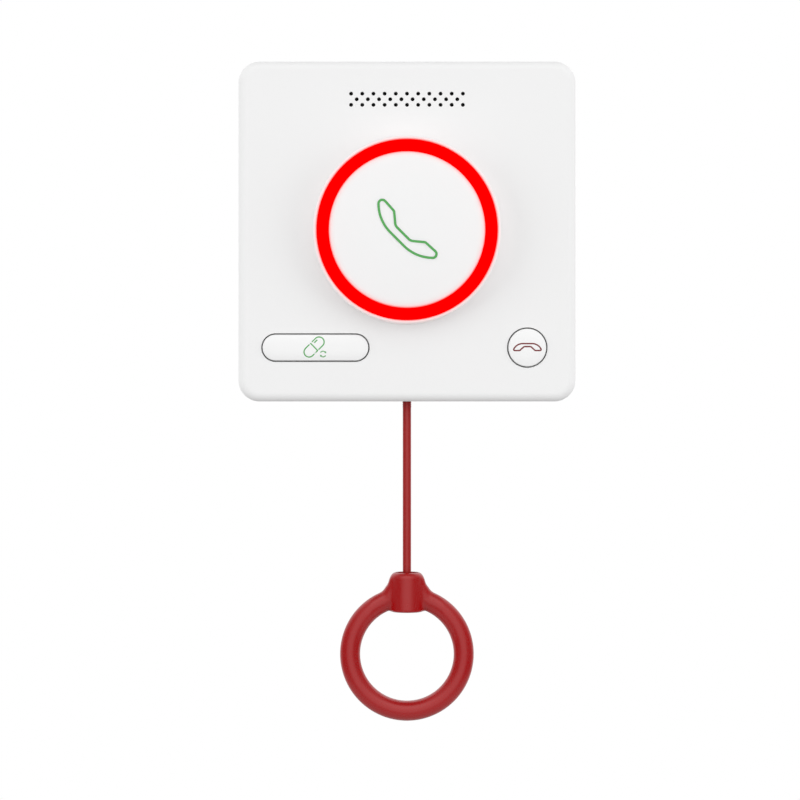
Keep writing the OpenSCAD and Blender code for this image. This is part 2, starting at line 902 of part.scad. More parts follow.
module speaker_frame() {
  ear_end = 2.6;
  ear_root = speaker_w / 2 - 1;
  ear_top = speaker_low + ear_t;
  color("dimgray") upright() difference() {
    union() {
      translate([speaker_x, grille_y, speaker_low])
        linear_extrude(speaker_top - speaker_low) rounded_rect(speaker_w, speaker_h, speaker_corner);
      at_speaker_ears() disc(ear_end, speaker_low, ear_top);
      translate([speaker_x, grille_y - ear_drop, 0]) for (side = [0, 1]) mirror([side, 0, 0])
        block(ear_root, ear_x, -ear_end, ear_end, speaker_low, ear_top);
    }
    translate([speaker_x, grille_y, 0]) {
      disc(cone_r + fit, speaker_low + pole_t, speaker_top + over);
      disc(pole_r + fit, speaker_low - over, speaker_low + over);
    }
    at_speaker_ears() disc(speaker_pilot_r + slide, speaker_low - over, ear_top + over);
  }
}

module speaker_cone() {
  rim_z = speaker_top - 0.8;
  paper_t = 0.4;
  dome_r = 2.4;
  dome_z = rim_z - 1;
  fold_in = 5.6;
  fold_r = 6.3;
  fold_top = rim_z + 0.4;
  color("black") upright() translate([speaker_x, grille_y, 0]) rotate_extrude() polygon([
    [0, dome_z], [dome_r, dome_z], [fold_in, rim_z], [fold_r, fold_top], [cone_r, rim_z],
    [cone_r, rim_z - paper_t], [fold_in, rim_z - paper_t], [dome_r, dome_z - paper_t], [0, dome_z - paper_t]
  ]);
}

module speaker_magnet() {
  magnet_r = 6.5;
  magnet_h = 2.4;
  color("silver") upright() translate([speaker_x, grille_y, 0]) {
    disc(magnet_r, speaker_low - magnet_h, speaker_low);
    disc(pole_r, speaker_low - fit, speaker_low + pole_t);
  }
}

module speaker_gasket() {
  strip = 2.5;
  color("gray") upright() translate([speaker_x, grille_y, speaker_top])
    linear_extrude(front_in - mesh_t - speaker_top) difference() {
      rounded_rect(speaker_w, speaker_h, speaker_corner);
      rounded_rect(speaker_w - 2 * strip, speaker_h - 2 * strip, speaker_corner - 1);
    }
}

module speaker_screws() {
  head_r = 1.8;
  head_h = 1.1;
  color("silver") upright() at_speaker_ears()
    screw(speaker_pilot_r - fit, head_r, head_h, speaker_low, front_in);
}

// Dust cloth over the whole grille, cut out round the screw post that stands beside the speaker
module grille_mesh() {
  wide = 44;
  high = 18;
  color("black") upright() translate([0, grille_y, front_in - mesh_t]) linear_extrude(mesh_t) difference() {
    square([wide, high], center = true);
    translate([speaker_x + ear_x, -ear_drop]) circle(speaker_post_r + slide);
  }
}

mic_r = 3;
mic_low = 22.6;
mic_top = 25.2;

module microphone() {
  color("silver") upright() translate([mic_x, grille_y, 0]) disc(mic_r, mic_low, mic_top);
}

module microphone_boot() {
  outer_r = 3.9;
  hole_for_wires = 1.6;
  floor_t = 0.8;
  color("dimgray") upright() translate([mic_x, grille_y, 0]) {
    tube(outer_r, mic_r + fit, mic_low, front_in - mesh_t);
    tube(outer_r, hole_for_wires, mic_low - floor_t, mic_low);
  }
}

// Pairs of wires from the loudspeaker and the microphone down to their sockets
module audio_leads() {
  wire_r = 0.45;
  wire_z = board_top + 3;
  low = audio_y + 2.5;
  tag_y = low + 7.8;
  speaker_route = [
    [audio_x[0], low, wire_z], [audio_x[0], low + 2, wire_z],
    [audio_x[0], low + 4, wire_z + 0.4], [audio_x[0], low + 6, wire_z + 2],
    [audio_x[0], tag_y, speaker_low - 0.9], [audio_x[0], tag_y, speaker_low]
  ];
  mic_route = [
    [audio_x[1], low, wire_z], [audio_x[1], low + 3, wire_z],
    [audio_x[1] + 2, low + 8, wire_z + 0.5], [mic_x - 1, low + 13, wire_z + 2],
    [mic_x, grille_y - 0.8, mic_low - 2.2], [mic_x, grille_y, mic_low - 1],
    [mic_x, grille_y, mic_low - fit]
  ];
  color("firebrick") upright() for (side = [-1, 1]) {
    speaker_wire = [for (p = speaker_route) p + [side, 0, 0]];
    mic_wire = [for (i = [0:len(mic_route) - 1]) mic_route[i] + [i < 4 ? side : 0.8 * side, 0, 0]];
    sweep(speaker_wire, same(wire_r, speaker_wire), 8, [1, 0, 0]);
    sweep(mic_wire, same(wire_r, mic_wire), 8, [1, 0, 0]);
  }
}

// Pull mechanism

module cord_bush() {
  flange_t = 1.2;
  flange_r = 5.4;
  bore_r = cord_r + 0.25;
  mouth_r = 3;
  inner = low_y + wall;
  color("dimgray") upright() along_up(0, 0, cord_z) rotate_extrude() polygon([
    [bore_r, inner + flange_t], [bore_r, exit_y], [mouth_r, low_y], [bush_r, low_y],
    [bush_r, inner], [flange_r, inner], [flange_r, inner + flange_t]
  ]);
}

module pull_guide() {
  web = 4.5;
  base_left = -9.6;
  base_right = 19;
  slot_half = 1.5;
  slot_low = carrier_low - pull_travel - slide;
  cord_hole_r = cord_r + 0.3;
  color("ivory") upright() difference() {
    union() {
      along_up(0, guide_low, cord_z) cylinder(r = guide_out, h = guide_top - guide_low);
      block(-web, web, guide_low, guide_top, base_z, cord_z - guide_in);
      block(base_left, base_right, guide_low, guide_top, base_z, base_top);
      block(switch_x, switch_end, switch_low, switch_high, base_z, cord_z - switch_half);
    }
    along_up(0, guide_floor, cord_z) cylinder(r = guide_in, h = guide_top - guide_floor + over);
    along_up(0, guide_low - over, cord_z) cylinder(r = cord_hole_r, h = guide_floor - guide_low + 2 * over);
    block(0, 2 * guide_in, slot_low, guide_top + over, cord_z - slot_half, cord_z + slot_half);
    at_each(guide_holes) disc(ear_pilot_r + slide, base_z - over, base_top + over);
    at_each(switch_holes) disc(switch_pilot_r, base_top, cord_z);
  }
}

module guide_cap() {
  lid_t = 1.2;
  color("ivory") upright() along_up(0, guide_top, cord_z) cylinder(r = guide_out, h = lid_t);
}

module guide_screws() {
  head_r = 2;
  head_h = 1.2;
  length = base_top - rear_in - 1;
  color("silver") upright() at_each(guide_holes) translate([0, 0, base_top]) mirror([0, 0, 1])
    screw(ear_pilot_r - fit, head_r, head_h, 0, length);
}

// Slides in the guide on the cord's upper end; its fin has the ramp that works the switch lever
module cord_carrier() {
  fin_half = 1.2;
  low = ramp_y - 0.4;
  rise = (carrier_top - low) * ramp_slope;
  length = carrier_top - carrier_low;
  color("dimgray") upright() difference() {
    union() {
      along_up(0, carrier_low, cord_z) cylinder(r = carrier_r, h = length);
      translate([0, 0, cord_z - fin_half]) linear_extrude(2 * fin_half)
        polygon([[0, low], [ramp_x, low], [ramp_x + rise, carrier_top], [0, carrier_top]]);
    }
    along_up(0, carrier_low - over, cord_z) cylinder(r = cord_r + fit, h = length + 2 * over);
    along_up(0, stop_low, cord_z) cylinder(r = stop_r + slide, h = length);
  }
}

module return_spring() {
  mid_r = 3.6;
  wire_r = 0.3;
  turns = 7;
  color("silver") upright() along_up(0, guide_floor, cord_z)
    coil_spring(mid_r, wire_r, turns, carrier_low - guide_floor);
}

module cord_stop() {
  height = 2.8;
  color("silver") upright() along_up(0, stop_low, cord_z) difference() {
    cylinder(r = stop_r, h = height);
    translate([0, 0, -over]) cylinder(r = cord_r + fit, h = height + 2 * over);
  }
}

// Bends of the cord are round ends in round hollows, so that it stays whole when it swings
module cord_piece(from, length, hollow) {
  difference() {
    along_up(0, from, cord_z) cylinder(r = cord_r, h = length);
    translate([0, hollow, cord_z]) sphere(cord_r + fit, $fn = 64);
  }
}

module cord_tail() {
  tail_top = -38.6;
  color("brown") upright() cord_piece(exit_y, tail_top - exit_y, exit_y);
}

// Places of the switch's three tags; the leads go to the upper two
tag_y = [-54.5, -49.6, -44.7];
tag_len = 2.6;

module microswitch() {
  ear_t = 0.9;
  ear_reach = 0.7;
  ear_half = 0.8;
  pin_hole_r = 0.35;
  plunger_deep = 3;
  tag_half = [0.3, 1];
  color("dimgray") upright() difference() {
    union() {
      block(switch_x, switch_end, switch_low, switch_high, cord_z - switch_half, cord_z + switch_half);
      for (side = [-1, 1]) translate([0, 0, cord_z + side * (switch_half - ear_t / 2) - ear_t / 2])
        block(lever_x - ear_reach, switch_x + over, lever_y - ear_half, lever_y + ear_half, 0, ear_t);
      for (y = tag_y) translate([0, y, cord_z])
        block(switch_end, switch_end + tag_len, -tag_half[0], tag_half[0], -tag_half[1], tag_half[1]);
    }
    translate([lever_x, lever_y, 0]) disc(pin_hole_r, 0, 2 * cord_z);
    translate([switch_x - over, plunger_y, cord_z]) rotate([0, 90, 0])
      cylinder(r = plunger_r + slide, h = plunger_deep + over);
    at_each(switch_holes) disc(switch_pilot_r, cord_z - switch_half - over, cord_z + switch_half + over);
  }
}

module switch_screws() {
  head_r = 1.6;
  head_h = 1;
  length = 8.4;
  color("silver") upright() at_each(switch_holes) translate([0, 0, cord_z + switch_half]) mirror([0, 0, 1])
    screw(switch_pilot_r - fit, head_r, head_h, 0, length);
}

module switch_lever() {
  strip_half = 0.15;
  half_w = 1.7;
  pin_r = 0.3;
  eye_r = 0.5;
  tip_r = 0.25;
  run = norm([lever_tip_x - lever_x, ramp_y - lever_y]);
  lean = atan2(lever_x - lever_tip_x, ramp_y - lever_y);
  color("silver") upright() translate([lever_x, lever_y, 0]) rotate(lean) {
    block(-strip_half, strip_half, 0, run, cord_z - half_w, cord_z + half_w);
    disc(pin_r, cord_z - switch_half, cord_z + switch_half);
    disc(eye_r, cord_z - half_w, cord_z + half_w);
    translate([0, run, 0]) disc(tip_r, cord_z - half_w, cord_z + half_w);
  }
}

module switch_plunger() {
  lever_clear = 0.25;
  rest_x = lever_x - (plunger_y - lever_y) * (lever_x - lever_tip_x) / (ramp_y - lever_y) + lever_clear;
  point_r = 0.15;
  tip_h = 0.7;
  body_h = 2;
  color("firebrick") upright() translate([rest_x, plunger_y, cord_z]) rotate([0, 90, 0]) {
    cylinder(r1 = point_r, r2 = plunger_r, h = tip_h);
    translate([0, 0, tip_h]) cylinder(r = plunger_r, h = body_h);
  }
}

module switch_leads() {
  wire_r = 0.45;
  tag_x = switch_end + tag_len;
  color("black") upright() for (side = [-1, 1]) {
    y = tag_y[side < 0 ? 1 : 2];
    to_y = cable_socket_y + 1.5 * side;
    wire = [
      [tag_x, y, cord_z], [tag_x + 1, y, cord_z], [tag_x + 2.6, (2 * y + to_y) / 3, cord_z],
      [tag_x + 3.6, (y + 2 * to_y) / 3, cord_z], [cable_x - 3.6, to_y, cord_z], [cable_x - 2.5, to_y, cord_z]
    ];
    sweep(wire, same(wire_r, wire), 8, [0, 0, 1]);
  }
}

module pull_cord() {
  last = len(cord_route) - 1;
  caps = [for (a = round_end) [0, cord_r * cos(a), cord_r * sin(a)]];
  points = concat(
    [for (c = caps) cord_route[0] + [0, c[1], 0]],
    cord_route,
    [for (i = [len(caps) - 1:-1:0]) cord_route[last] - [0, caps[i][1], 0]]
  );
  radii = concat(
    [for (c = caps) c[2]],
    same(cord_r, cord_route),
    [for (i = [len(caps) - 1:-1:0]) caps[i][2]]
  );
  color("brown") upright() sweep(points, radii, 8, [0, 0, 1]);
}

knot_r = 2.7;
knot_flat = 2;
knot_room = 2.7;
knot_y = ring_y + 18.9;

module cord_end() {
  color("brown") upright() cord_piece(knot_y + knot_flat, bend_y - knot_y - knot_flat, bend_y);
}

module ring_knot() {
  color("brown") upright() along_up(0, knot_y, cord_z) rotate_extrude() intersection() {
    circle(knot_r);
    translate([0, -knot_r]) square([knot_r, knot_r + knot_flat]);
  }
}

// Web between the boss and the ring, flaring from the one to the outside of the other
module saddle_2d() {
  points = [[-13.4, ring_y + 18.2], [13.4, ring_y + 18.2], [12.6, ring_y + 20.7], [7.4, ring_y + 23.4],
    [5, ring_y + 28], [-5, ring_y + 28], [-7.4, ring_y + 23.4], [-12.6, ring_y + 20.7]];
  radii = [0.5, 0.5, 1, 4.5, 0.5, 0.5, 4.5, 1];
  polygon(rounded_path(points, radii, 0, 6));
}

module pull_ring() {
  shoulder_r = 2.3;
  saddle_half = 2.4;
  mouth_r = 2;
  mouth_low = bend_y - 1;
  chamber_h = knot_y + knot_room - boss_low;
  color("brown") upright() difference() {
    union() {
      translate([0, ring_y, cord_z]) rotate_extrude() translate([ring_mid_r, 0]) circle(ring_tube_r);
      along_up(0, boss_low, cord_z) rotate_extrude() rim_section(boss_r, boss_top - boss_low, shoulder_r);
      translate([0, 0, cord_z - saddle_half]) linear_extrude(2 * saddle_half) saddle_2d();
    }
    along_up(0, knot_y, cord_z) cylinder(r = cord_r + slide, h = boss_top - knot_y + over);
    along_up(0, mouth_low, cord_z) cylinder(r1 = cord_r + slide, r2 = mouth_r, h = boss_top - mouth_low);
    along_up(0, boss_low - over, cord_z) cylinder(r = knot_r + slide, h = chamber_h + over);
  }
}

module ring_plug() {
  plug_t = 0.9;
  color("brown") upright() along_up(0, boss_low, cord_z) cylinder(r = knot_r + fit, h = plug_t);
}

wall_plate();
back_cover();
front_cover();
case_gasket();
case_screws();
lock_screw();
call_bezel();
light_ring();
button_frame();
frame_screws();
call_cap();
call_symbol();
call_springs();
call_stem();
medicine_cap();
medicine_symbol();
medicine_boot();
medicine_stem();
cancel_cap();
cancel_symbol();
cancel_boot();
cancel_stem();
main_board();
board_screws();
ring_leds();
tact_switches();
board_chips();
radio_module();
capacitors();
terminal_block();
terminal_screws();
board_connectors();
speaker_frame();
speaker_cone();
speaker_magnet();
speaker_gasket();
speaker_screws();
audio_leads();
grille_mesh();
microphone();
microphone_boot();
cord_bush();
pull_guide();
guide_cap();
guide_screws();
cord_carrier();
return_spring();
cord_stop();
cord_tail();
microswitch();
switch_screws();
switch_lever();
switch_plunger();
switch_leads();
pull_cord();
cord_end();
ring_knot();
pull_ring();
ring_plug();
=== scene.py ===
"""Bedhead call terminal: a white wall unit with a lit call button, two small buttons and a pull cord."""

from math import atan2, cos, hypot, pi, radians, sin, sqrt, tan, tau

import bmesh
import bpy
import numpy as np
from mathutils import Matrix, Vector


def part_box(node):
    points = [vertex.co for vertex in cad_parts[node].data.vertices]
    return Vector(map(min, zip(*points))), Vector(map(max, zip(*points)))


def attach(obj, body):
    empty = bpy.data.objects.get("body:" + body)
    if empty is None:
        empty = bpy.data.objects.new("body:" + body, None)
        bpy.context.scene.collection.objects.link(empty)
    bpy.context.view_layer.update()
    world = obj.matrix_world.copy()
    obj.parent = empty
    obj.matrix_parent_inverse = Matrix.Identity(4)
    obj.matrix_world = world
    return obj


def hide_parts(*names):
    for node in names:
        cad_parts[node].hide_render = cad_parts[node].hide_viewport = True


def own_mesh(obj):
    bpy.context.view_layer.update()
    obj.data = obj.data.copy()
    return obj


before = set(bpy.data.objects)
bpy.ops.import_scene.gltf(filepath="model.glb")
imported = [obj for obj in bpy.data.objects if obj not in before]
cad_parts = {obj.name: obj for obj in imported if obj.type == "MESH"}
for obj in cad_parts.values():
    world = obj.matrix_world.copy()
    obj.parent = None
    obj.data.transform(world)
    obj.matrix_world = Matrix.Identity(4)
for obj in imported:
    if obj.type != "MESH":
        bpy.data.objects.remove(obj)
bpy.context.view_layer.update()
scene = bpy.context.scene

# Camera. The photograph looks level and square at the panel, from far enough away that its
# side walls don't show. One of its pixels is 0.355 mm wide on the front face.
MM = 0.001
picture_px = 800
pixel = 0.355
panel_centre_px = (407, 231)
camera_distance = 900
front_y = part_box("front_cover")[0].y

camera_data = bpy.data.cameras.new("camera")
camera_data.sensor_width = 36
camera_data.lens = camera_data.sensor_width * camera_distance / (picture_px * pixel)
camera_data.clip_start = 0.01
camera_data.clip_end = 20
camera = bpy.data.objects.new("camera", camera_data)
camera.location = (
    (picture_px / 2 - panel_centre_px[0]) * pixel * MM,
    front_y - camera_distance * MM,
    (panel_centre_px[1] - picture_px / 2) * pixel * MM,
)
camera.rotation_euler = (radians(90), 0, 0)
scene.collection.objects.link(camera)
scene.camera = camera
scene.view_settings.view_transform = "Standard"


# Room. Even light comes from a pale room all round, less of it from below. The camera sees white
# paper behind the unit. Glossy surfaces see that paper, a bright window in front and a bright
# band high up, with darker walls between them.
def add(tree, kind, inputs=None, **settings):
    """Adds a node with its settings; an input is a value, or another node's output as (node, output)."""
    node = tree.nodes.new(kind)
    for name, value in settings.items():
        setattr(node, name, value)
    for name, value in (inputs or {}).items():
        if isinstance(value, tuple) and isinstance(value[0], bpy.types.Node):
            tree.links.new(value[0].outputs[value[1]], node.inputs[name])
        else:
            node.inputs[name].default_value = value
    return node


def emptied(owner):
    """Node tree of a world or a material, without nodes."""
    owner.use_nodes = True
    owner.node_tree.nodes.clear()
    return owner.node_tree


def linear(colour):
    """Linear colour of an sRGB hex colour."""
    parts = [int(colour[i:i + 2], 16) / 255 for i in (1, 3, 5)]
    return (*(p / 12.92 if p <= 0.04045 else ((p + 0.055) / 1.055) ** 2.4 for p in parts), 1)


room_light = 0.68
light_from_below = 0.54
side_wall_level = 0.02
window_height = radians(18)
window_level = 1.3
# Heights of the bright band's edges, each with its level
bright_band = ((0.2, 0), (0.72, 0.75), (0.82, 0.75), (0.96, 0.05))
world = bpy.data.worlds.new("room")
world.cycles.sampling_method = "NONE"
scene.world = world
tree = emptied(world)
path = add(tree, "ShaderNodeLightPath")
mirrored = add(tree, "ShaderNodeMath", {
    0: (path, "Is Glossy Ray"), 1: (path, "Is Transmission Ray"),
}, operation="MAXIMUM")
direction = add(tree, "ShaderNodeTexCoord")
split = add(tree, "ShaderNodeSeparateXYZ", {"Vector": (direction, "Generated")})
behind = add(tree, "ShaderNodeMapRange", {
    "Value": (split, "Y"), "From Min": -0.25, "From Max": 0.75, "To Min": side_wall_level, "To Max": 1,
}, interpolation_type="SMOOTHSTEP")
window = add(tree, "ShaderNodeVectorMath", {
    0: (direction, "Generated"), 1: (0, -cos(window_height), sin(window_height)),
}, operation="DOT_PRODUCT")
front = add(tree, "ShaderNodeMapRange", {
    "Value": (window, "Value"), "From Min": 0.55, "From Max": 0.95, "To Min": 0, "To Max": window_level,
}, interpolation_type="SMOOTHSTEP")
above = add(tree, "ShaderNodeValToRGB", {"Fac": (split, "Z")})
for stop, (height, level) in enumerate(bright_band):
    mark = above.color_ramp.elements[stop] if stop < 2 else above.color_ramp.elements.new(height)
    mark.position = height
    mark.color = (level, level, level, 1)
bright = add(tree, "ShaderNodeMath", {0: (behind, 0), 1: (front, 0)}, operation="MAXIMUM")
brighter = add(tree, "ShaderNodeMath", {0: (bright, 0), 1: (above, 0)}, operation="ADD")
even = add(tree, "ShaderNodeMapRange", {
    "Value": (split, "Z"), "From Min": -0.8, "From Max": 0,
    "To Min": room_light * light_from_below, "To Max": room_light,
})
reflected = add(tree, "ShaderNodeMix", {
    0: (mirrored, 0), 2: (even, 0), 3: (brighter, 0),
}, data_type="FLOAT")
seen = add(tree, "ShaderNodeMix", {0: (path, "Is Camera Ray"), 2: (reflected, 0), 3: 1.0}, data_type="FLOAT")
background = add(tree, "ShaderNodeBackground", {"Color": (1, 1, 1, 1), "Strength": (seen, 0)})
add(tree, "ShaderNodeOutputWorld", {"Surface": (background, 0)})


# Lamps. A large soft lamp in front of the unit and above it makes the soft shadow under the
# button. A strong one on each side brightens the rounded edges, and a weak one fills the front.
def lamp(name, place, aim, size, power):
    """Round area lamp that glossy surfaces don't show."""
    data = bpy.data.lights.new(name, "AREA")
    data.shape = "DISK"
    data.size = size
    data.energy = power
    made = bpy.data.objects.new(name, data)
    made.location = place
    made.rotation_euler = (Vector(place) - Vector(aim)).to_track_quat("Z", "Y").to_euler()
    made.visible_glossy = False
    scene.collection.objects.link(made)


lamp("front_lamp", (0, -1.5, 0), (0, 0, 0), 1.2, 0.8)
lamp("key_lamp", (0.2, -1.2, 0.5), (0, 0, 0), 1.8, 3.0)
lamp("left_lamp", (-1.2, -0.6, 0), (0, 0, 0), 1.2, 6.2)
lamp("right_lamp", (1.2, -0.6, 0), (0, 0, 0), 1.2, 6.2)

# Floor. A pale floor lies well below the hanging ring, outside the photograph's view. It fades
# into the white background at its edge and takes the unit's shadow, but throws no light back.
floor_z = -0.42
floor_r = 1.0
fade_start = 0.5
fade_end = 0.97
floor_mesh = bpy.data.meshes.new("floor")
shape = bmesh.new()
bmesh.ops.create_circle(shape, cap_ends=True, radius=floor_r, segments=96)
bmesh.ops.translate(shape, verts=shape.verts, vec=(0, 0, floor_z))
shape.to_mesh(floor_mesh)
shape.free()
floor = bpy.data.objects.new("floor", floor_mesh)
scene.collection.objects.link(floor)
floor.visible_diffuse = False
paper = bpy.data.materials.new("white_paper_floor")
tree = emptied(paper)
place = add(tree, "ShaderNodeTexCoord")
reach = add(tree, "ShaderNodeVectorMath", {0: (place, "Object")}, operation="LENGTH")
path = add(tree, "ShaderNodeLightPath")
geometry = add(tree, "ShaderNodeNewGeometry")
fade = add(tree, "ShaderNodeMapRange", {
    "Value": (reach, "Value"), "From Min": fade_start, "From Max": fade_end, "To Min": 0, "To Max": 1,
}, interpolation_type="SMOOTHSTEP")
hidden = add(tree, "ShaderNodeMath", {0: (fade, 0), 1: (geometry, "Backfacing")}, operation="MAXIMUM")
matt = add(tree, "ShaderNodeBsdfDiffuse", {"Color": linear("#f8f8f8")})
clear = add(tree, "ShaderNodeBsdfTransparent")
surface = add(tree, "ShaderNodeMixShader", {0: (hidden, 0), 1: (matt, 0), 2: (clear, 0)})
add(tree, "ShaderNodeOutputMaterial", {"Surface": (surface, 0)})
floor_mesh.materials.append(paper)


# Pull cord. A 3 mm cord with a smooth red PVC sheath over a polyester core. It comes out of the
# carrier through the bush in the bottom wall and hangs straight down to the pull ring. Three low
# ribs at its top show that it is fully home.
def panel(x, y, depth):
    """Point of the unit seen face on: x right and y up from its middle, depth out from the wall, in mm."""
    return Vector((x, -depth, y)) * MM


def skin(name, rings, wrap=False, sharp=35):
    """Solid through rings of points, closed by a face at each end, or all round if wrap."""
    count = len(rings[0])
    points = [p for ring in rings for p in ring]
    faces = []
    for i in range(len(rings) if wrap else len(rings) - 1):
        a, b = i * count, (i + 1) % len(rings) * count
        faces += [(a + k, a + (k + 1) % count, b + (k + 1) % count, b + k) for k in range(count)]
    if not wrap:
        faces += [range(count), range(len(points) - count, len(points))]
    mesh = bpy.data.meshes.new(name)
    mesh.from_pydata(points, [], faces)
    return tidy(mesh, sharp)


def tidy(mesh, sharp=35):
    """Merges double points, turns the faces outwards and shades smooth apart from sharp edges."""
    shape = bmesh.new()
    shape.from_mesh(mesh)
    bmesh.ops.remove_doubles(shape, verts=shape.verts, dist=1e-6)
    bmesh.ops.recalc_face_normals(shape, faces=shape.faces)
    shape.to_mesh(mesh)
    shape.free()
    mesh.shade_smooth()
    mesh.set_sharp_from_angle(angle=radians(sharp))
    return mesh


def piece(name, mesh, material):
    """The object of a finished piece."""
    mesh.materials.clear()
    mesh.materials.append(material)
    made = bpy.data.objects.new(name, mesh)
    scene.collection.objects.link(made)
    return made


def dress(material, *nodes):
    """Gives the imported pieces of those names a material."""
    for node in nodes:
        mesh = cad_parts[node].data
        mesh.materials.clear()
        mesh.materials.append(material)


uneven_size = 25
# How far round a point the ambient occlusion looks when painting shade into joints, and how closed in a point
# must be before it gets any
joint_reach = 1.5
joint_openness = 0.32


def moulded(name, colour, roughness, grain, relief, shade=0.03, painted_joint_shade=0.0, glow=None, **shader):
    """Moulded plastic: a grain of that size and relief in mm, and a slight unevenness of its colour.

    The argument after shade sets how dark the painted shade is in joints and gaps that ambient occlusion
    finds closed in; glow paints into the colour and the light what a lamp behind it would add.
    """
    material = bpy.data.materials.new(name)
    tree = emptied(material)
    place = add(tree, "ShaderNodeTexCoord")
    fine = add(tree, "ShaderNodeTexNoise", {
        "Vector": (place, "Object"), "Scale": 1 / (grain * MM), "Detail": 3, "Roughness": 0.6,
    })
    broad = add(tree, "ShaderNodeTexNoise", {
        "Vector": (place, "Object"), "Scale": 1 / (uneven_size * MM), "Detail": 2,
    })
    base = linear(colour)
    pale = add(tree, "ShaderNodeMix", {
        0: (broad, 0), 6: base, 7: tuple(c * (1 - shade) for c in base[:3]) + (1,),
    }, data_type="RGBA")
    polish = add(tree, "ShaderNodeMapRange", {
        "Value": (fine, 0), "To Min": roughness - 0.05, "To Max": min(1, roughness + 0.05),
    })
    bump = add(tree, "ShaderNodeBump", {"Height": (fine, 0), "Distance": relief * MM, "Strength": 1})
    # Painted shade: where ambient occlusion finds the surface closed in, in joints, gaps and hole walls, the
    # colour darkens towards near black
    if painted_joint_shade:
        openness = add(tree, "ShaderNodeAmbientOcclusion", {"Distance": joint_reach * MM}, samples=6)
        depth = add(tree, "ShaderNodeMapRange", {
            "Value": (openness, "AO"), "From Min": 0, "From Max": joint_openness, "To Min": painted_joint_shade, "To Max": 0,
        })
        pale = add(tree, "ShaderNodeMix", {
            0: (depth, 0), 6: (pale, 2), 7: linear("#262422"),
        }, data_type="RGBA")
    surface = add(tree, "ShaderNodeBsdfPrincipled", {
        "Base Color": (pale, 2), "Roughness": (polish, 0), "Normal": (bump, 0), **shader,
    })
    if glow:
        glow(tree, place, surface)
    add(tree, "ShaderNodeOutputMaterial", {"Surface": (surface, 0)})
    return material


cord_r = 1.5
cord_depth = 17
cord_sides = 32
# Heights of the route's points, and how many steps join each to the next
cord_route = (-58.6, -62, -68, -74, -80, -86, -92, -98, -104, -110, -116, -122.1)
route_steps = 2
cap_steps = 8
cord_tip_r = 0.01
rib_pitch = 0.75
rib_rise = 0.07
rib_count = 3
rib_start = 2
# How far down its pitch each corner of a rib is, and how far it stands out
rib_corners = ((0, 0), (0.3, rib_rise), (0.55, rib_rise), (0.85, 0))


def circle(sides):
    """Points of a circle with radius 1."""
    return [(cos(tau * k / sides), sin(tau * k / sides)) for k in range(sides)]


def upright_lathe(name, profile, sides=48):
    """Solid of revolution about the cord's line, from (radius, height)."""
    return skin(name, [[panel(r * c, height, cord_depth + r * s) for c, s in circle(sides)]
                       for r, height in profile])


route = [a + (b - a) * k / route_steps
         for a, b in zip(cord_route, cord_route[1:]) for k in range(route_steps)]
route.append(cord_route[-1])
ribs = [(cord_route[0] - rib_start - rib_pitch * (k + down), cord_r + rise)
        for k in range(rib_count) for down, rise in rib_corners]
caps = [(cord_r * cos(radians(90) * k / cap_steps), cord_r * sin(radians(90) * k / cap_steps) + cord_tip_r)
        for k in range(cap_steps)]
levels = [(route[0] + rise, r) for rise, r in caps]
levels += sorted([(z, cord_r) for z in route if not ribs[-1][0] <= z <= ribs[0][0]] + ribs, reverse=True)
levels += [(route[-1] - rise, r) for rise, r in reversed(caps)]
cord_mesh = upright_lathe("pull_cord", [(r, z) for z, r in levels], cord_sides)
# Soft PVC: satin, with a very fine drawn texture
red_cord = moulded("red_pvc_sheath", "#9c1412", 0.32, 0.5, 0.003, **{"Specular IOR Level": 0.5})
cord = piece("red_pull_cord", cord_mesh, red_cord)
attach(cord, "cord")
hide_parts("pull_cord")
dress(red_cord, "cord_tail", "ring_knot")

# Lower end of the cord, inside the ring's boss, with the same PVC sheath. The round end of the
# cord above turns in its hollow, whose rim lies low enough to clear that cord when the ring tilts.
hollow_r = 1.53
hollow_rim = 33
end_low = -130.3
end_bevel = 0.2
hollow = [(hollow_r * sin(radians(a)), route[-1] - hollow_r * cos(radians(a)))
          for a in (1, 12, 23, 34, 45, 90 - hollow_rim)]
cord_end = piece("cord_lower_end", upright_lathe("cord_end", [
    *hollow, (cord_r, hollow[-1][1]), (cord_r, end_low + end_bevel), (cord_r - end_bevel, end_low),
]), red_cord)
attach(cord_end, "ring")
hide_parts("cord_end")


# Pull ring. One moulding in deep red ABS: a round ring that flares into an upright boss with
# round shoulders. The cord runs down into the boss, through a dished top, to its knot.
def smooth_min(a, b, blend):
    """The smaller of two distances, with a fillet where they are about equal."""
    near = np.maximum(blend - np.abs(a - b), 0) / blend
    return np.minimum(a, b) - near * near * blend / 4


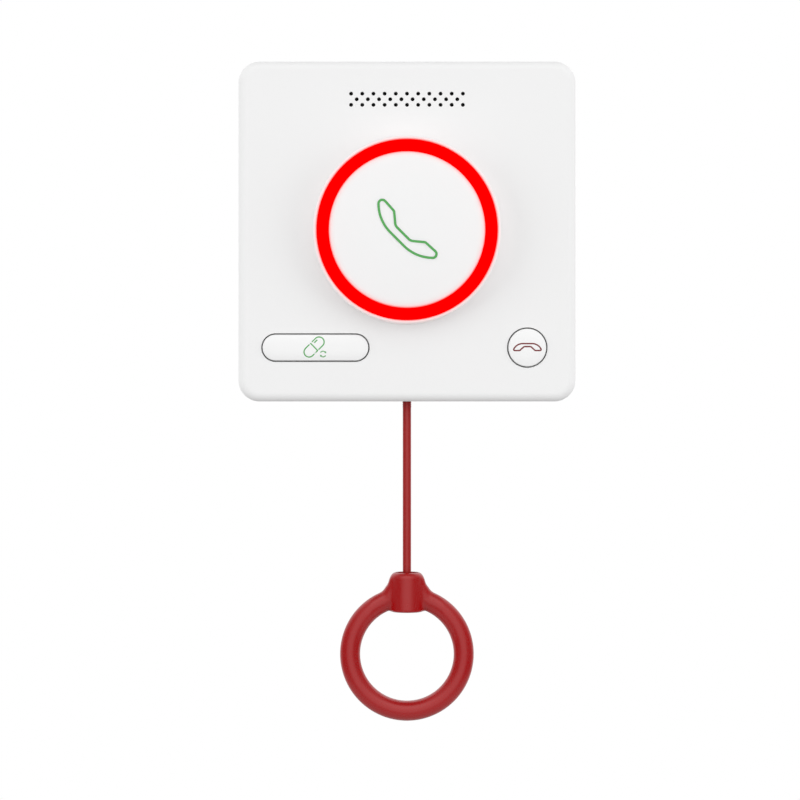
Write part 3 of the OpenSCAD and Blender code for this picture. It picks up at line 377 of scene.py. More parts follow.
def surface_of(name, distance, low, high, step):
    """Mesh where a distance in mm is zero, with a point in each cell of a grid that it crosses."""
    axes = [np.arange(a, b + step, step) for a, b in zip(low, high)]
    grid = np.stack(np.meshgrid(*axes, indexing="ij"), -1)
    inside = distance(*np.moveaxis(grid, -1, 0)) < 0
    cells = tuple(n - 1 for n in inside.shape)
    corners = sum(
        inside[i:i + cells[0], j:j + cells[1], k:k + cells[2]].astype(int)
        for i in (0, 1) for j in (0, 1) for k in (0, 1)
    )
    crossed = (corners > 0) & (corners < 8)
    index = np.full(cells, -1)
    index[crossed] = np.arange(crossed.sum())
    points = grid[:-1, :-1, :-1][crossed] + step / 2
    reach = 0.01
    for _ in range(5):
        value = distance(*points.T)
        slope = np.stack([
            distance(*(points + reach * np.eye(3)[i]).T) - distance(*(points - reach * np.eye(3)[i]).T)
            for i in range(3)
        ], 1) / (2 * reach)
        move = value[:, None] * slope / np.maximum((slope * slope).sum(1), 0.2)[:, None]
        points = points - np.clip(move, -step / 2, step / 2)
    quads = []
    for turn in ((0, 1, 2), (1, 2, 0), (2, 0, 1)):
        solid, number = inside.transpose(turn), index.transpose(turn)
        first, second = solid[:-1, 1:-1, 1:-1], solid[1:, 1:-1, 1:-1]
        i, j, k = np.nonzero(first != second)
        quad = np.stack([number[i, j + a, k + b] for a, b in ((0, 0), (1, 0), (1, 1), (0, 1))], 1)
        quads.append(np.where(first[i, j, k][:, None], quad, quad[:, ::-1]))
    mesh = bpy.data.meshes.new(name)
    mesh.from_pydata(points.tolist(), [], np.concatenate(quads).tolist())
    return mesh


ring_y = cord_route[-1] - 29.1
ring_mid_r = 20.42
ring_tube_r = 3.61
boss_r = 5.95
boss_low = 15.1
boss_high = 29.4
shoulder_r = 2.3
boss_edge = 1.0
boss_blend = 1.2
# The tube gets flatter towards the boss, from one distance to another from the ring's middle line
flatter_by = 0.4
flatter_from = 13
flatter_to = 5
# The web fills the corner above the tube; it gets wider downwards
web_half = 5.9
web_thick = 2.6
web_middle = 23.2
web_reach = 4.3
web_edge = 1.2
web_lean = 0.16
lean_top = 28
lean_deep = 12
# The fillet between web and tube grows upwards
fillet = 1.6
fillet_growth = 3.2
fillet_low = 20
fillet_high = 24
bore_r = 1.62
chamber_r = 2.8
chamber_low = 14
chamber_high = 21.6
dish_r = 4.1
dish_deep = 1.4
hollow_blend = 0.2
ring_grid = 0.25


def rounded_box(extents, edge):
    """Distance to a box with rounded edges, given how far each coordinate is past its faces."""
    out = [e + edge for e in extents]
    outside = np.sqrt(sum(np.maximum(o, 0) ** 2 for o in out))
    return outside + np.minimum(np.maximum.reduce(out), 0) - edge


def pull_ring_distance(x, y, z):
    """Distance to the ring from a point across, out and up from its middle."""
    across = np.hypot(x, y)
    near_boss = np.clip((flatter_from - np.abs(x)) / (flatter_from - flatter_to), 0, 1) * (z > 0)
    tube = np.hypot(np.hypot(x, z) - ring_mid_r, y * (1 + flatter_by * near_boss)) - ring_tube_r
    lean = web_lean * np.clip(lean_top - z, 0, lean_deep)
    web = rounded_box([
        np.abs(x) - web_half - lean, np.abs(y) - web_thick, np.abs(z - web_middle) - web_reach,
    ], web_edge)
    middle, half = (boss_low + boss_high) / 2, (boss_high - boss_low) / 2
    edge = np.where(z > middle, shoulder_r, boss_edge)
    boss = rounded_box([across - boss_r, np.abs(z - middle) - half], edge)
    blend = fillet + fillet_growth * np.clip((z - fillet_low) / (fillet_high - fillet_low), 0, 1)
    whole = smooth_min(smooth_min(web, tube, blend), boss, boss_blend)
    bore = np.maximum(across - bore_r, chamber_high - 1 - z)
    chamber = np.maximum(across - chamber_r, np.maximum(z - chamber_high, chamber_low - z))
    dish = np.maximum(across - dish_r, boss_high - dish_deep - z)
    hollow = np.minimum(np.minimum(bore, chamber), dish)
    return -smooth_min(-whole, hollow, hollow_blend)


ring_mesh = surface_of("pull_ring", pull_ring_distance, (-25, -6.5, -25), (25, 6.5, 31), ring_grid)
for vertex in ring_mesh.vertices:
    x, y, z = vertex.co
    vertex.co = panel(x, ring_y + z, cord_depth - y)
tidy(ring_mesh, 60)
# Polished tool: semi-gloss, with the faint waviness of a thick moulding
red_abs = moulded("red_moulded_abs", "#a20a0d", 0.26, 6, 0.004, **{"Specular IOR Level": 0.5})
ring = piece("pull_ring_handle", ring_mesh, red_abs)
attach(ring, "ring")
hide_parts("pull_ring")
dress(red_abs, "ring_plug")

# Front cover. A shell moulded in white ABS with a fine spark-eroded texture and a 3 mm rounding
# round its face. Four screws from behind hold it; the loudspeaker sits behind its perforations.
housing_w = 120
housing_h = 121
corner_r = 7.5
edge_r = 3
wall = 2.2
split_depth = 8
front_depth = 28
inner_edge = 1
parting_bevel = 0.25
arc_steps = 10
corner_steps = 14


def arc(x, y, r, start, end, steps):
    """Points of an arc between two angles in degrees."""
    return [(x + r * cos(radians(start + (end - start) * k / steps)),
             y + r * sin(radians(start + (end - start) * k / steps))) for k in range(steps + 1)]


def rounded_rect(w, h, r):
    """Outline of a rectangle with round corners, anticlockwise."""
    points = []
    for turn, (sx, sy) in enumerate(((1, 1), (-1, 1), (-1, -1), (1, -1))):
        points += arc(sx * (w / 2 - r), sy * (h / 2 - r), r, 90 * turn, 90 * turn + 90, corner_steps)
    return points


def pill(w, h, steps=24):
    """Outline of a long hole with round ends, anticlockwise."""
    reach = (w - h) / 2
    return arc(reach, 0, h / 2, -90, 90, steps) + arc(-reach, 0, h / 2, 90, 270, steps)


def stack(outline, profile, centre=(0, 0)):
    """Rings for skin: outline(inset) drawn at each depth of a profile of (inset, depth)."""
    return [[panel(x + centre[0], y + centre[1], depth) for x, y in outline(inset)]
            for inset, depth in profile]


def lathe(name, profile, centre=(0, 0), sides=128, wrap=False):
    """Solid of revolution about a line square to the wall, from a profile of (radius, depth)."""
    return skin(name, [[panel(centre[0] + r * c, centre[1] + r * s, depth) for c, s in circle(sides)]
                       for r, depth in profile], wrap)


def cover_outline(inset):
    """Outline of the case's side wall, moved inwards."""
    return rounded_rect(housing_w - 2 * inset, housing_h - 2 * inset, corner_r - inset)


front_inside = front_depth - wall
outer_arc = arc(edge_r, front_depth - edge_r, edge_r, 180, 90, arc_steps)
inner_arc = arc(wall + inner_edge, front_inside - inner_edge, inner_edge, 90, 180, 4)
front_profile = [
    (wall + inner_edge + 0.4, front_inside), *inner_arc, (wall, split_depth), (parting_bevel, split_depth),
    (0, split_depth + parting_bevel), *outer_arc, (edge_r + 0.4, front_depth),
]
shell = skin("front_cover", stack(cover_outline, front_profile), sharp=30)

collar_hole_r = 33.06
button_gap = 0.46
small_y = -41.4
medicine_x = -32.5
medicine_w = 37.5
medicine_h = 9.2
cancel_x = 42.7
cancel_r = 6.7
hole_flare = 0.12
cut_low = front_inside - 1
cut_profile = [(0, cut_low), (0, front_depth - hole_flare), (-2 * hole_flare, front_depth + hole_flare)]


def medicine_opening(inset):
    """Outline of the medicine button's opening, moved inwards."""
    return pill(medicine_w + 2 * (button_gap - inset), medicine_h + 2 * (button_gap - inset))


def flared(r):
    """Profile of a round hole through the front wall, opened out at its edge."""
    return [(r - inset, depth) for inset, depth in cut_profile]


def joined(name, *meshes):
    """One mesh from several."""
    shape = bmesh.new()
    for mesh in meshes:
        shape.from_mesh(mesh)
    made = bpy.data.meshes.new(name)
    shape.to_mesh(made)
    shape.free()
    return made


def carve(name, mesh, cutter):
    """A solid with another taken away from it."""
    body = bpy.data.objects.new(name, mesh)
    tool = bpy.data.objects.new(name + "_tool", cutter)
    for thing in (body, tool):
        scene.collection.objects.link(thing)
    step = body.modifiers.new("cut", "BOOLEAN")
    step.operation = "DIFFERENCE"
    step.solver = "EXACT"
    step.object = tool
    made = bpy.data.meshes.new_from_object(body.evaluated_get(bpy.context.evaluated_depsgraph_get()))
    for thing in (body, tool):
        bpy.data.objects.remove(thing)
    return made


low_y = -housing_h / 2
bush_hole_r = 4.2
openings = joined(
    "openings",
    lathe("collar_hole", [(collar_hole_r, cut_low), (collar_hole_r, front_depth + 1)], sides=192),
    skin("medicine_hole", stack(medicine_opening, cut_profile, (medicine_x, small_y))),
    lathe("cancel_hole", flared(cancel_r + button_gap), (cancel_x, small_y), 64),
    upright_lathe("bush_hole", [(bush_hole_r, low_y - 1), (bush_hole_r, low_y + wall + 1)]),
)
shell = carve("front_cover", shell, openings)

hole_pitch = 3.97
hole_r = 0.7
hole_edge = 0.05
hole_count = 11
grille_y = 46.8


def grow(name, mesh, sockets, build):
    """Plain mesh that a Geometry Nodes tree with named inputs makes of a mesh."""
    tree = bpy.data.node_groups.new(name, "GeometryNodeTree")
    tree.interface.new_socket("Geometry", in_out="INPUT", socket_type="NodeSocketGeometry")
    keys = [tree.interface.new_socket(label, in_out="INPUT", socket_type="NodeSocket" + kind).identifier
            for label, kind, value in sockets]
    tree.interface.new_socket("Geometry", in_out="OUTPUT", socket_type="NodeSocketGeometry")
    given = add(tree, "NodeGroupInput")
    add(tree, "NodeGroupOutput", {"Geometry": build(tree, given)})
    holder = bpy.data.objects.new(name, mesh)
    scene.collection.objects.link(holder)
    modifier = holder.modifiers.new("nodes", "NODES")
    modifier.node_group = tree
    for key, (label, kind, value) in zip(keys, sockets):
        modifier[key] = value
    made = bpy.data.meshes.new_from_object(holder.evaluated_get(bpy.context.evaluated_depsgraph_get()))
    bpy.data.objects.remove(holder)
    return made


def perforate(tree, given):
    """Cuts two long rows of holes and a shorter one between them."""
    gaps = add(tree, "ShaderNodeMath", {0: (given, "Holes in a row"), 1: 1.0}, operation="SUBTRACT")
    length = add(tree, "ShaderNodeMath", {0: (gaps, 0), 1: (given, "Pitch")}, operation="MULTIPLY")
    shorter = add(tree, "ShaderNodeMath", {0: (length, 0), 1: (given, "Pitch")}, operation="SUBTRACT")
    rows = add(tree, "GeometryNodeMeshGrid", {
        "Size X": (length, 0), "Size Y": (given, "Pitch"),
        "Vertices X": (given, "Holes in a row"), "Vertices Y": 2,
    })
    half = add(tree, "ShaderNodeMath", {0: (shorter, 0), 1: -0.5}, operation="MULTIPLY")
    start = add(tree, "ShaderNodeCombineXYZ", {"X": (half, 0)})
    step = add(tree, "ShaderNodeCombineXYZ", {"X": (given, "Pitch")})
    middle = add(tree, "GeometryNodeMeshLine", {
        "Count": (gaps, 0), "Start Location": (start, 0), "Offset": (step, 0),
    }, mode="OFFSET")
    both = add(tree, "GeometryNodeJoinGeometry")
    tree.links.new(rows.outputs[0], both.inputs[0])
    tree.links.new(middle.outputs[0], both.inputs[0])
    height = add(tree, "ShaderNodeCombineXYZ", {"Z": (given, "Height")})
    upright = add(tree, "GeometryNodeTransform", {
        "Geometry": (both, 0), "Translation": (height, 0), "Rotation": (radians(90), 0, 0),
    })
    punch = add(tree, "GeometryNodeObjectInfo", {"Object": (given, "Punch")})
    punches = add(tree, "GeometryNodeInstanceOnPoints", {
        "Points": (upright, 0), "Instance": (punch, "Geometry"),
    })
    real = add(tree, "GeometryNodeRealizeInstances", {"Geometry": (punches, 0)})
    cut = add(tree, "GeometryNodeMeshBoolean", operation="DIFFERENCE", solver="EXACT")
    tree.links.new(given.outputs["Geometry"], cut.inputs["Mesh 1"])
    tree.links.new(real.outputs[0], cut.inputs["Mesh 2"])
    whole = add(tree, "GeometryNodeRealizeInstances", {"Geometry": (cut, 0)})
    finished = add(tree, "GeometryNodeSetMaterial", {"Geometry": (whole, 0), "Material": (given, "Material")})
    return finished, 0


# Spark-eroded ABS: matt and even, with painted shade in its gaps and joints. Its grain, really 0.1 mm, is
# drawn four times as coarse
white_abs = moulded("white_textured_abs", "#f1f1f1", 0.55, 0.4, 0.004, shade=0.01, painted_joint_shade=1.0)
punch_profile = [
    (hole_r, cut_low), (hole_r, front_depth - hole_edge), (hole_r + 2 * hole_edge, front_depth + hole_edge),
]
punch = piece("punch", lathe("punch", punch_profile, sides=28), white_abs)
shell = grow("perforated_cover", shell, [
    ("Pitch", "Float", hole_pitch * MM), ("Holes in a row", "Int", hole_count),
    ("Height", "Float", grille_y * MM), ("Punch", "Object", punch), ("Material", "Material", white_abs),
], perforate)
bpy.data.objects.remove(punch)
front_cover = piece("white_front_cover", tidy(shell, 30), white_abs)
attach(front_cover, "housing")
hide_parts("front_cover")


# Back cover and button frame. Both are moulded in the same ABS as the front; the back cover
# closes the case from behind, and its sharp edges are rounded here as the mould leaves them.
def copied(name, node, material, width=0.0):
    """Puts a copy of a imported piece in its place, with its sharp edges rounded to a width in mm."""
    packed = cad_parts[node]
    shape = bmesh.new()
    shape.from_mesh(packed.data)
    shape.transform(packed.matrix_world)
    bmesh.ops.remove_doubles(shape, verts=shape.verts, dist=1e-6)
    if width:
        bmesh.ops.dissolve_limit(shape, angle_limit=radians(1), verts=shape.verts, edges=shape.edges)
        sharp = [edge for edge in shape.edges if edge.is_manifold and edge.calc_face_angle() > radians(40)]
        bmesh.ops.bevel(shape, geom=sharp, offset=width * MM, offset_type="OFFSET", segments=2, profile=0.5,
                        affect="EDGES", clamp_overlap=True)
    mesh = bpy.data.meshes.new(node)
    shape.to_mesh(mesh)
    shape.free()
    made = piece(name, tidy(mesh, 20 if width else 50), material)
    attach(made, "housing")
    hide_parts(node)
    return made


copied("white_back_cover", "back_cover", white_abs, 0.2)
dress(white_abs, "button_frame")

# Collar, light ring and cap of the call button. The collar and the cap are smooth white
# polycarbonate; the light ring between them is clear red, lit by the LEDs behind it.
collar_r = 33.06
ring_outer_r = 31.84
cap_r = 27.55
collar_top = 36
frame_top = 24.3
flange_r = 35.2
step_depth = 33
cap_edge = 36.3
cap_rise = 1.2
dome_r = (cap_r ** 2 + cap_rise ** 2) / (2 * cap_rise)


def dome(r):
    """Depth of the cap's face at a radius."""
    return cap_edge + cap_rise - dome_r + sqrt(dome_r ** 2 - r ** 2)


# Smooth ABS/polycarbonate: satin, faintly uneven, with painted shade in its gaps and joints
white_pc = moulded("white_polycarbonate", "#f4f4f4", 0.38, 3, 0.002, shade=0.01, painted_joint_shade=0.9)
# Painted red glow beside the light ring: how fast it fades, how much light the plastic gives off there, and
# how much its side wall gives off
glow_reach = 0.55
ring_spill = 0.25
wall_glow = 0.02


def painted_ring_glow(tree, place, surface):
    """Painted glow of the light ring's red light in the white plastic beside it, fading away from it."""
    flat = add(tree, "ShaderNodeVectorMath", {0: (place, "Object"), 1: (1, 0, 1)}, operation="MULTIPLY")
    radius = add(tree, "ShaderNodeVectorMath", {0: (flat, 0)}, operation="LENGTH")
    inside = add(tree, "ShaderNodeMath", {0: cap_r * MM, 1: (radius, "Value")}, operation="SUBTRACT")
    outside = add(tree, "ShaderNodeMath", {0: (radius, "Value"), 1: ring_outer_r * MM}, operation="SUBTRACT")
    away = add(tree, "ShaderNodeMath", {0: (inside, 0), 1: (outside, 0)}, operation="MAXIMUM")
    steps = add(tree, "ShaderNodeMath", {0: (away, 0), 1: -1 / (glow_reach * MM)}, operation="MULTIPLY")
    share = add(tree, "ShaderNodeMath", {0: (steps, 0)}, operation="EXPONENT", use_clamp=True)
    plain = surface.inputs["Base Color"].links[0].from_socket.node
    # Painted glow: the base colour turns pink next to the ring, and the plastic gives off light there
    painted_glow_colour = add(tree, "ShaderNodeMix", {
        0: (share, 0), 6: (plain, 2), 7: linear("#ed7c7c"),
    }, data_type="RGBA")
    tree.links.new(painted_glow_colour.outputs[2], surface.inputs["Base Color"])
    # The collar's side wall gets a paler painted glow too, standing in for light scattered on its way there
    wall = add(tree, "ShaderNodeMapRange", {
        "Value": (outside, 0), "From Min": 0.9 * MM, "From Max": 1.2 * MM, "To Min": 0, "To Max": wall_glow,
    })
    power = add(tree, "ShaderNodeMath", {
        0: (share, 0), 1: ring_spill, 2: (wall, 0),
    }, operation="MULTIPLY_ADD")
    tint = add(tree, "ShaderNodeMix", {
        0: (share, 0), 6: linear("#fff0ee"), 7: linear("#ff3830"),
    }, data_type="RGBA")
    tree.links.new(tint.outputs[2], surface.inputs["Emission Color"])
    tree.links.new(power.outputs[0], surface.inputs["Emission Strength"])


# Collar and cap: the same polycarbonate with real subsurface scattering, a little painted shade in its
# joints, and a painted red glow beside the light ring
lit_pc = moulded("lit_polycarbonate", "#f4f4f4", 0.38, 3, 0.002, shade=0.01, painted_joint_shade=0.2, glow=painted_ring_glow, **{
    "Subsurface Weight": 0.6, "Subsurface Scale": 1.5 * MM, "Subsurface Radius": (1, 1, 1),
})
collar_in = ring_outer_r + 0.05
collar_mid = (collar_r + collar_in) / 2
collar_round = (collar_r - collar_in) / 2
collar_profile = [
    (collar_in, frame_top), (collar_in, collar_top - collar_round),
    *arc(collar_mid, collar_top - collar_round, collar_round, 180, 0, 12),
    (collar_r, front_inside), (flange_r, front_inside), (flange_r, frame_top),
]
collar = piece("call_button_collar", lathe("collar", collar_profile, sides=192, wrap=True), lit_pc)
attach(collar, "housing")
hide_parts("call_bezel")

# Light guide: pure red light that comes evenly through its face
red_light = bpy.data.materials.new("lit_red_acrylic")
tree = emptied(red_light)
place = add(tree, "ShaderNodeTexCoord")
frost = add(tree, "ShaderNodeTexNoise", {"Vector": (place, "Object"), "Scale": 1 / (0.8 * MM), "Detail": 2})
glow = add(tree, "ShaderNodeMapRange", {"Value": (frost, 0), "To Min": 0.98, "To Max": 1.02})
surface = add(tree, "ShaderNodeBsdfPrincipled", {
    "Base Color": linear("#900000"), "Roughness": 0.3, "Specular IOR Level": 0.0,
    "Emission Color": linear("#ff0000"), "Emission Strength": (glow, 0),
})
add(tree, "ShaderNodeOutputMaterial", {"Surface": (surface, 0)})
slide = 0.1
guide_in = cap_r + slide
guide_step = 1.4
guide_round = 0.4
guide_profile = [
    (cap_r + guide_step, frame_top), (cap_r + guide_step, step_depth), (guide_in, step_depth),
    *arc(guide_in + guide_round, collar_top - guide_round, guide_round, 180, 90, 5),
    *arc(ring_outer_r - guide_round, collar_top - guide_round, guide_round, 90, 0, 5),
    (ring_outer_r, frame_top),
]
light_ring = piece("call_light_ring", lathe("light_ring", guide_profile, sides=192, wrap=True), red_light)
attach(light_ring, "housing")
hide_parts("light_ring")

cap_round = 0.6
cap_thick = 2.4
cap_flange = 1.1
cap_skirt_in = 25.2
cap_skirt_low = step_depth - 1.8
cap_face = [(cap_r * k / 16, dome(cap_r * k / 16)) for k in range(1, 16)]
cap_profile = [
    *cap_face, *arc(cap_r - cap_round, cap_edge - cap_round, cap_round, 80, 0, 6),
    (cap_r, step_depth - slide), (cap_r + cap_flange, step_depth - slide),
    (cap_r + cap_flange, cap_skirt_low), (cap_skirt_in, cap_skirt_low),
    (cap_skirt_in, cap_edge - cap_thick), (1, cap_edge - cap_thick),
]
call_cap = piece("call_button_cap", lathe("call_cap", cap_profile, sides=192), lit_pc)
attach(call_cap, "call_button")
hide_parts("call_cap")

# Handset symbol on the cap, in green, moulded in from behind so that it can't wear off.
# It is a plain line of even width round a telephone handset.
handset = [(-16.1, 1.75), (-9.08, -4.93), (9.08, -4.93), (16.1, 1.75),
           (7.75, 1.3), (3.75, -2.04), (-3.75, -2.04), (-7.75, 1.3)]
handset_radii = (1.35, 14.4, 14.4, 1.35, 0.9, 2.6, 2.6, 0.9)
call_line = 0.85
symbol_stand = 0.03
symbol_sink = 0.3


def rounded_path(points, radii, shift, steps=12, step=0.6):
    """Closed path with rounded corners, moved outwards by shift; the points run anticlockwise."""
    path, corners = [], []
    for i, here in enumerate(points):
        last, after = Vector(points[i - 1]), Vector(points[(i + 1) % len(points)])
        here = Vector(here)
        into = (here - last).normalized()
        out = (after - here).normalized()
        turning = atan2(into.cross(out), into.dot(out))
        side = 1 if turning > 0 else -1
        centre = here - into * radii[i] * tan(abs(turning) / 2) + side * radii[i] * Vector((-into.y, into.x))
        first = atan2(into.y, into.x) - side * pi / 2
        turns = [first + turning * k / steps for k in range(steps + 1)]
        corners.append([centre + r * Vector((cos(a), sin(a)))
                        for r in (radii[i] + side * shift, radii[i]) for a in turns])
    for i, corner in enumerate(corners):
        # The corner moved outwards, then the straight run to it in steps counted on the path itself
        last = corners[i - 1]
        count = max(1, round((corner[steps + 1] - last[-1]).length / step))
        path += [last[steps].lerp(corner[0], k / count) for k in range(1, count)] + corner[:steps + 1]
    return path


def line_symbol(name, points, radii, width, face, place):
    """Raised line along a closed path; face gives the depth under a point, place moves and turns it."""
    outer = [place(p) for p in rounded_path(points, radii, width / 2)]
    inner = [place(p) for p in rounded_path(points, radii, -width / 2)]
    section = ((outer, -symbol_sink), (outer, symbol_stand), (inner, symbol_stand), (inner, -symbol_sink))
    rings = [[panel(x, y, face(x, y) + lift) for x, y in path] for path, lift in section]
    return skin(name, rings, wrap=True)


def plate_symbol(name, points, face, place):
    """Raised flat shape."""
    return skin(name, [[panel(x, y, face(x, y) + lift) for x, y in map(place, points)]
                       for lift in (-symbol_sink, symbol_stand)])


def turned(angle, x=0, y=0):
    """Place for a symbol: turned by an angle in degrees, then moved."""
    c, s = cos(radians(angle)), sin(radians(angle))
    return lambda p: (x + p[0] * c - p[1] * s, y + p[0] * s + p[1] * c)


green_ink = moulded("green_moulded_symbol", "#4fa351", 0.4, 0.5, 0.002)
call_mesh = line_symbol(
    "call_symbol", handset, handset_radii, call_line, lambda x, y: dome(hypot(x, y)), turned(-45))
call_symbol = piece("green_handset_symbol", call_mesh, green_ink)
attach(call_symbol, "call_button")
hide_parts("call_symbol")

# Small buttons. Both are satin white caps with a soft crown, let into the panel with a fine gap
# all round, and held from behind by a flange.
button_top = 29.2
flange_top = front_inside - slide
button_low = front_inside - 1.4
button_edge = 0.5
button_flange = 1.3
button_back_in = 0.8
button_crown = 0.6
crown_power = 3
crown_steps = 8
flat_middle = 0.06


def button_profile(half):
    """Profile of a small button of that half width, from the middle of its face to its back."""
    start = half * (1 - flat_middle)
    insets = [start - (start - button_edge) * k / crown_steps for k in range(crown_steps)]
    face = [(i, button_top - button_crown * (1 - i / half) ** crown_power) for i in insets]
    rim = button_top - button_crown * (1 - button_edge / half) ** crown_power
    return face + [*reversed(arc(button_edge, rim - button_edge, button_edge, 180, 95, 6)),
                   (0, flange_top), (-button_flange, flange_top), (-button_flange, button_low),
                   (button_back_in, button_low)]


medicine_mesh = skin("medicine_cap", stack(
    lambda inset: pill(medicine_w - 2 * inset, medicine_h - 2 * inset), button_profile(medicine_h / 2),
    (medicine_x, small_y)))
medicine_cap = piece("medicine_button_cap", medicine_mesh, white_pc)
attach(medicine_cap, "medicine_button")
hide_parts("medicine_cap")

cancel_profile = [(cancel_r - inset, depth) for inset, depth in button_profile(cancel_r)]
cancel_mesh = lathe("cancel_cap", cancel_profile, (cancel_x, small_y), 96)
cancel_cap = piece("cancel_button_cap", cancel_mesh, white_pc)
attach(cancel_cap, "cancel_button")
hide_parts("cancel_cap")

# Symbols of the small buttons, moulded in like the first. They are a green capsule with two
# turning arrows for the medicine reminder, and a red handset laid down for cancel.
small_line = 0.42
capsule_half = 1.8
capsule_reach = 4.3


def medicine_face(x, y):
    """Depth of the medicine button's face."""
    reach = (medicine_w - medicine_h) / 2
    across = hypot(max(abs(x - medicine_x) - reach, 0), y - small_y)
    return button_top - button_crown * (across / (medicine_h / 2)) ** crown_power


def cancel_face(x, y):
    """Depth of the cancel button's face."""
    return button_top - button_crown * (hypot(x - cancel_x, y - small_y) / cancel_r) ** crown_power


def stroke(points, width=small_line):
    """Outline of an open line of even width, square at its ends."""
    left, right = [], []
    for i, point in enumerate(points):
        along = (Vector(points[min(i + 1, len(points) - 1)]) - Vector(points[max(i - 1, 0)])).normalized()
        across = Vector((-along.y, along.x)) * width / 2
        left.append(Vector(point) + across)
        right.append(Vector(point) - across)
    return right + left[::-1]


capsule_at = turned(45, medicine_x - 0.45, small_y + 0.2)
half_end = capsule_reach - capsule_half
upper_half = [(0.45, -capsule_half), *arc(half_end, 0, capsule_half, -90, 90, 16), (0.75, capsule_half)]
lower_half = [(-0.55, capsule_half), *arc(-half_end, 0, capsule_half, 90, 270, 16), (-0.05, -capsule_half)]
# The two halves, the line between them, and the shine on the upper one
capsule_lines = (upper_half, lower_half, [(0, -capsule_half - 0.1), (0.05, capsule_half + 0.1)],
                 [(1.1, capsule_half - 0.8), (2.6, capsule_half - 0.8)])
parts = [plate_symbol("line", stroke(line), medicine_face, capsule_at) for line in capsule_lines]
arrow_r = 1.02
for turn in (0, 180):
    arrow_at = turned(turn, medicine_x + 2.75, small_y - 2.3)
    bow = stroke(arc(0, 0, arrow_r, 40, 150, 10), 0.34)
    tip = [turned(40)((x + arrow_r, y)) for x, y in ((-0.42, 0.1), (0, -0.5), (0.42, 0.1))]
    parts += [plate_symbol("arrow", points, medicine_face, arrow_at) for points in (bow, tip)]
medicine_symbol = piece("green_capsule_symbol", tidy(joined("medicine_symbol", *parts)), green_ink)
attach(medicine_symbol, "medicine_button")
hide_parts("medicine_symbol")

laid_down = [(-5.13, -1.06), (-2.75, -1.06), (-1.2, 0.34), (1.2, 0.34),
             (2.75, -1.06), (5.13, -1.06), (3.79, 1.4), (-3.79, 1.4)]
laid_down_radii = (0.4, 0.4, 1, 1, 0.4, 0.4, 3.5, 3.5)
cancel_line = 0.5
red_ink = moulded("red_moulded_symbol", "#701416", 0.4, 0.5, 0.002)
cancel_mesh = line_symbol(
    "cancel_symbol", laid_down, laid_down_radii, cancel_line, cancel_face, turned(0, cancel_x, small_y))
cancel_symbol = piece("red_handset_symbol", cancel_mesh, red_ink)
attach(cancel_symbol, "cancel_button")
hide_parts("cancel_symbol")


# Metal pieces. The wall plate is pressed from galvanised sheet, which shows its spangle, and the
# case hangs on its hooks. The rest is plated or drawn metal inside the case.
def metal(name, colour, roughness, cell, contrast, relief=0.0):
    """Metal with crystals or drawing marks of that size in mm."""
    material = bpy.data.materials.new(name)
    tree = emptied(material)
    place = add(tree, "ShaderNodeTexCoord")
    grains = add(tree, "ShaderNodeTexVoronoi", {"Vector": (place, "Object"), "Scale": 1 / (cell * MM)})
    split = add(tree, "ShaderNodeSeparateColor", {"Color": (grains, "Color")})
    base = linear(colour)
    tone = add(tree, "ShaderNodeMix", {
        0: (split, 0), 6: base, 7: tuple(c * (1 - contrast) for c in base[:3]) + (1,),
    }, data_type="RGBA")
    polish = add(tree, "ShaderNodeMapRange", {
        "Value": (split, 1), "To Min": roughness - 0.06, "To Max": roughness + 0.06,
    })
    bump = add(tree, "ShaderNodeBump", {
        "Height": (grains, "Distance"), "Distance": relief * MM, "Strength": 1,
    })
    surface = add(tree, "ShaderNodeBsdfPrincipled", {
        "Base Color": (tone, 2), "Metallic": 1.0, "Roughness": (polish, 0), "Normal": (bump, 0),
    })
    add(tree, "ShaderNodeOutputMaterial", {"Surface": (surface, 0)})
    return material


galvanised = metal("galvanised_steel", "#bcc1c4", 0.4, 3, 0.16)
zinc = metal("zinc_plated_steel", "#c3c2ba", 0.32, 0.3, 0.12, 0.002)
spring_steel = metal("drawn_spring_steel", "#b0b3b6", 0.25, 0.2, 0.1, 0.002)
tinned = metal("tinned_steel", "#c8c8c5", 0.3, 1.5, 0.08)
can = metal("drawn_aluminium_can", "#cfd1d4", 0.28, 0.25, 0.06, 0.001)
nickel = metal("nickel_plate", "#c4c0b6", 0.2, 0.8, 0.05)
copied("spangled_wall_plate", "wall_plate", galvanised, 0.12)
dress(zinc, "lock_screw", "cord_stop")
dress(spring_steel, "switch_lever")
dress(tinned, "radio_module")
dress(can, "capacitors")
dress(nickel, "speaker_magnet")


# Screws. Zinc plated pan heads with a cross recess, each left at the turn that its driver gave
# it. They hold the covers, the frame, the board, the loudspeaker and the pull mechanism.
thread_pitch = 0.9


def screw(name, head_r, head_h, shank_r, seat, end):
    """Screw square to the wall, with its head's rim at depth seat and its point at depth end."""
    way, length = (1, end - seat) if end > seat else (-1, seat - end)
    edge, thread = 0.4 * head_h, 0.16 * shank_r
    rim = reversed(arc(head_r - edge, edge - head_h, edge, 0, -90, 6))
    head = [(0.4 * head_r, -head_h), *rim, (head_r, 0)]
    # Ridges from just under the head to the start of the point
    count = int(2 * (length - 1.4) / thread_pitch)
    shank = [(shank_r - thread * (k % 2), 0.3 + thread_pitch / 2 * k) for k in range(count)]
    profile = head + [(shank_r, 0)] + shank + [(shank_r - thread, length - 0.8), (0.2, length)]
    body = lathe(name, [(r, seat + way * depth) for r, depth in profile], sides=32)
    arm, half = 0.6 * head_r, 0.13 * head_r
    star = [(arm, half), (half, half), (half, arm), (-half, arm), (-half, half), (-arm, half),
            (-arm, -half), (-half, -half), (-half, -arm), (half, -arm), (half, -half), (arm, -half)]
    recess = skin("recess", [[panel(x * size, y * size, seat + way * depth) for x, y in star]
                             for size, depth in ((1.1, -head_h - 0.2), (0.5, -0.35 * head_h))])
    return carve(name, body, recess)


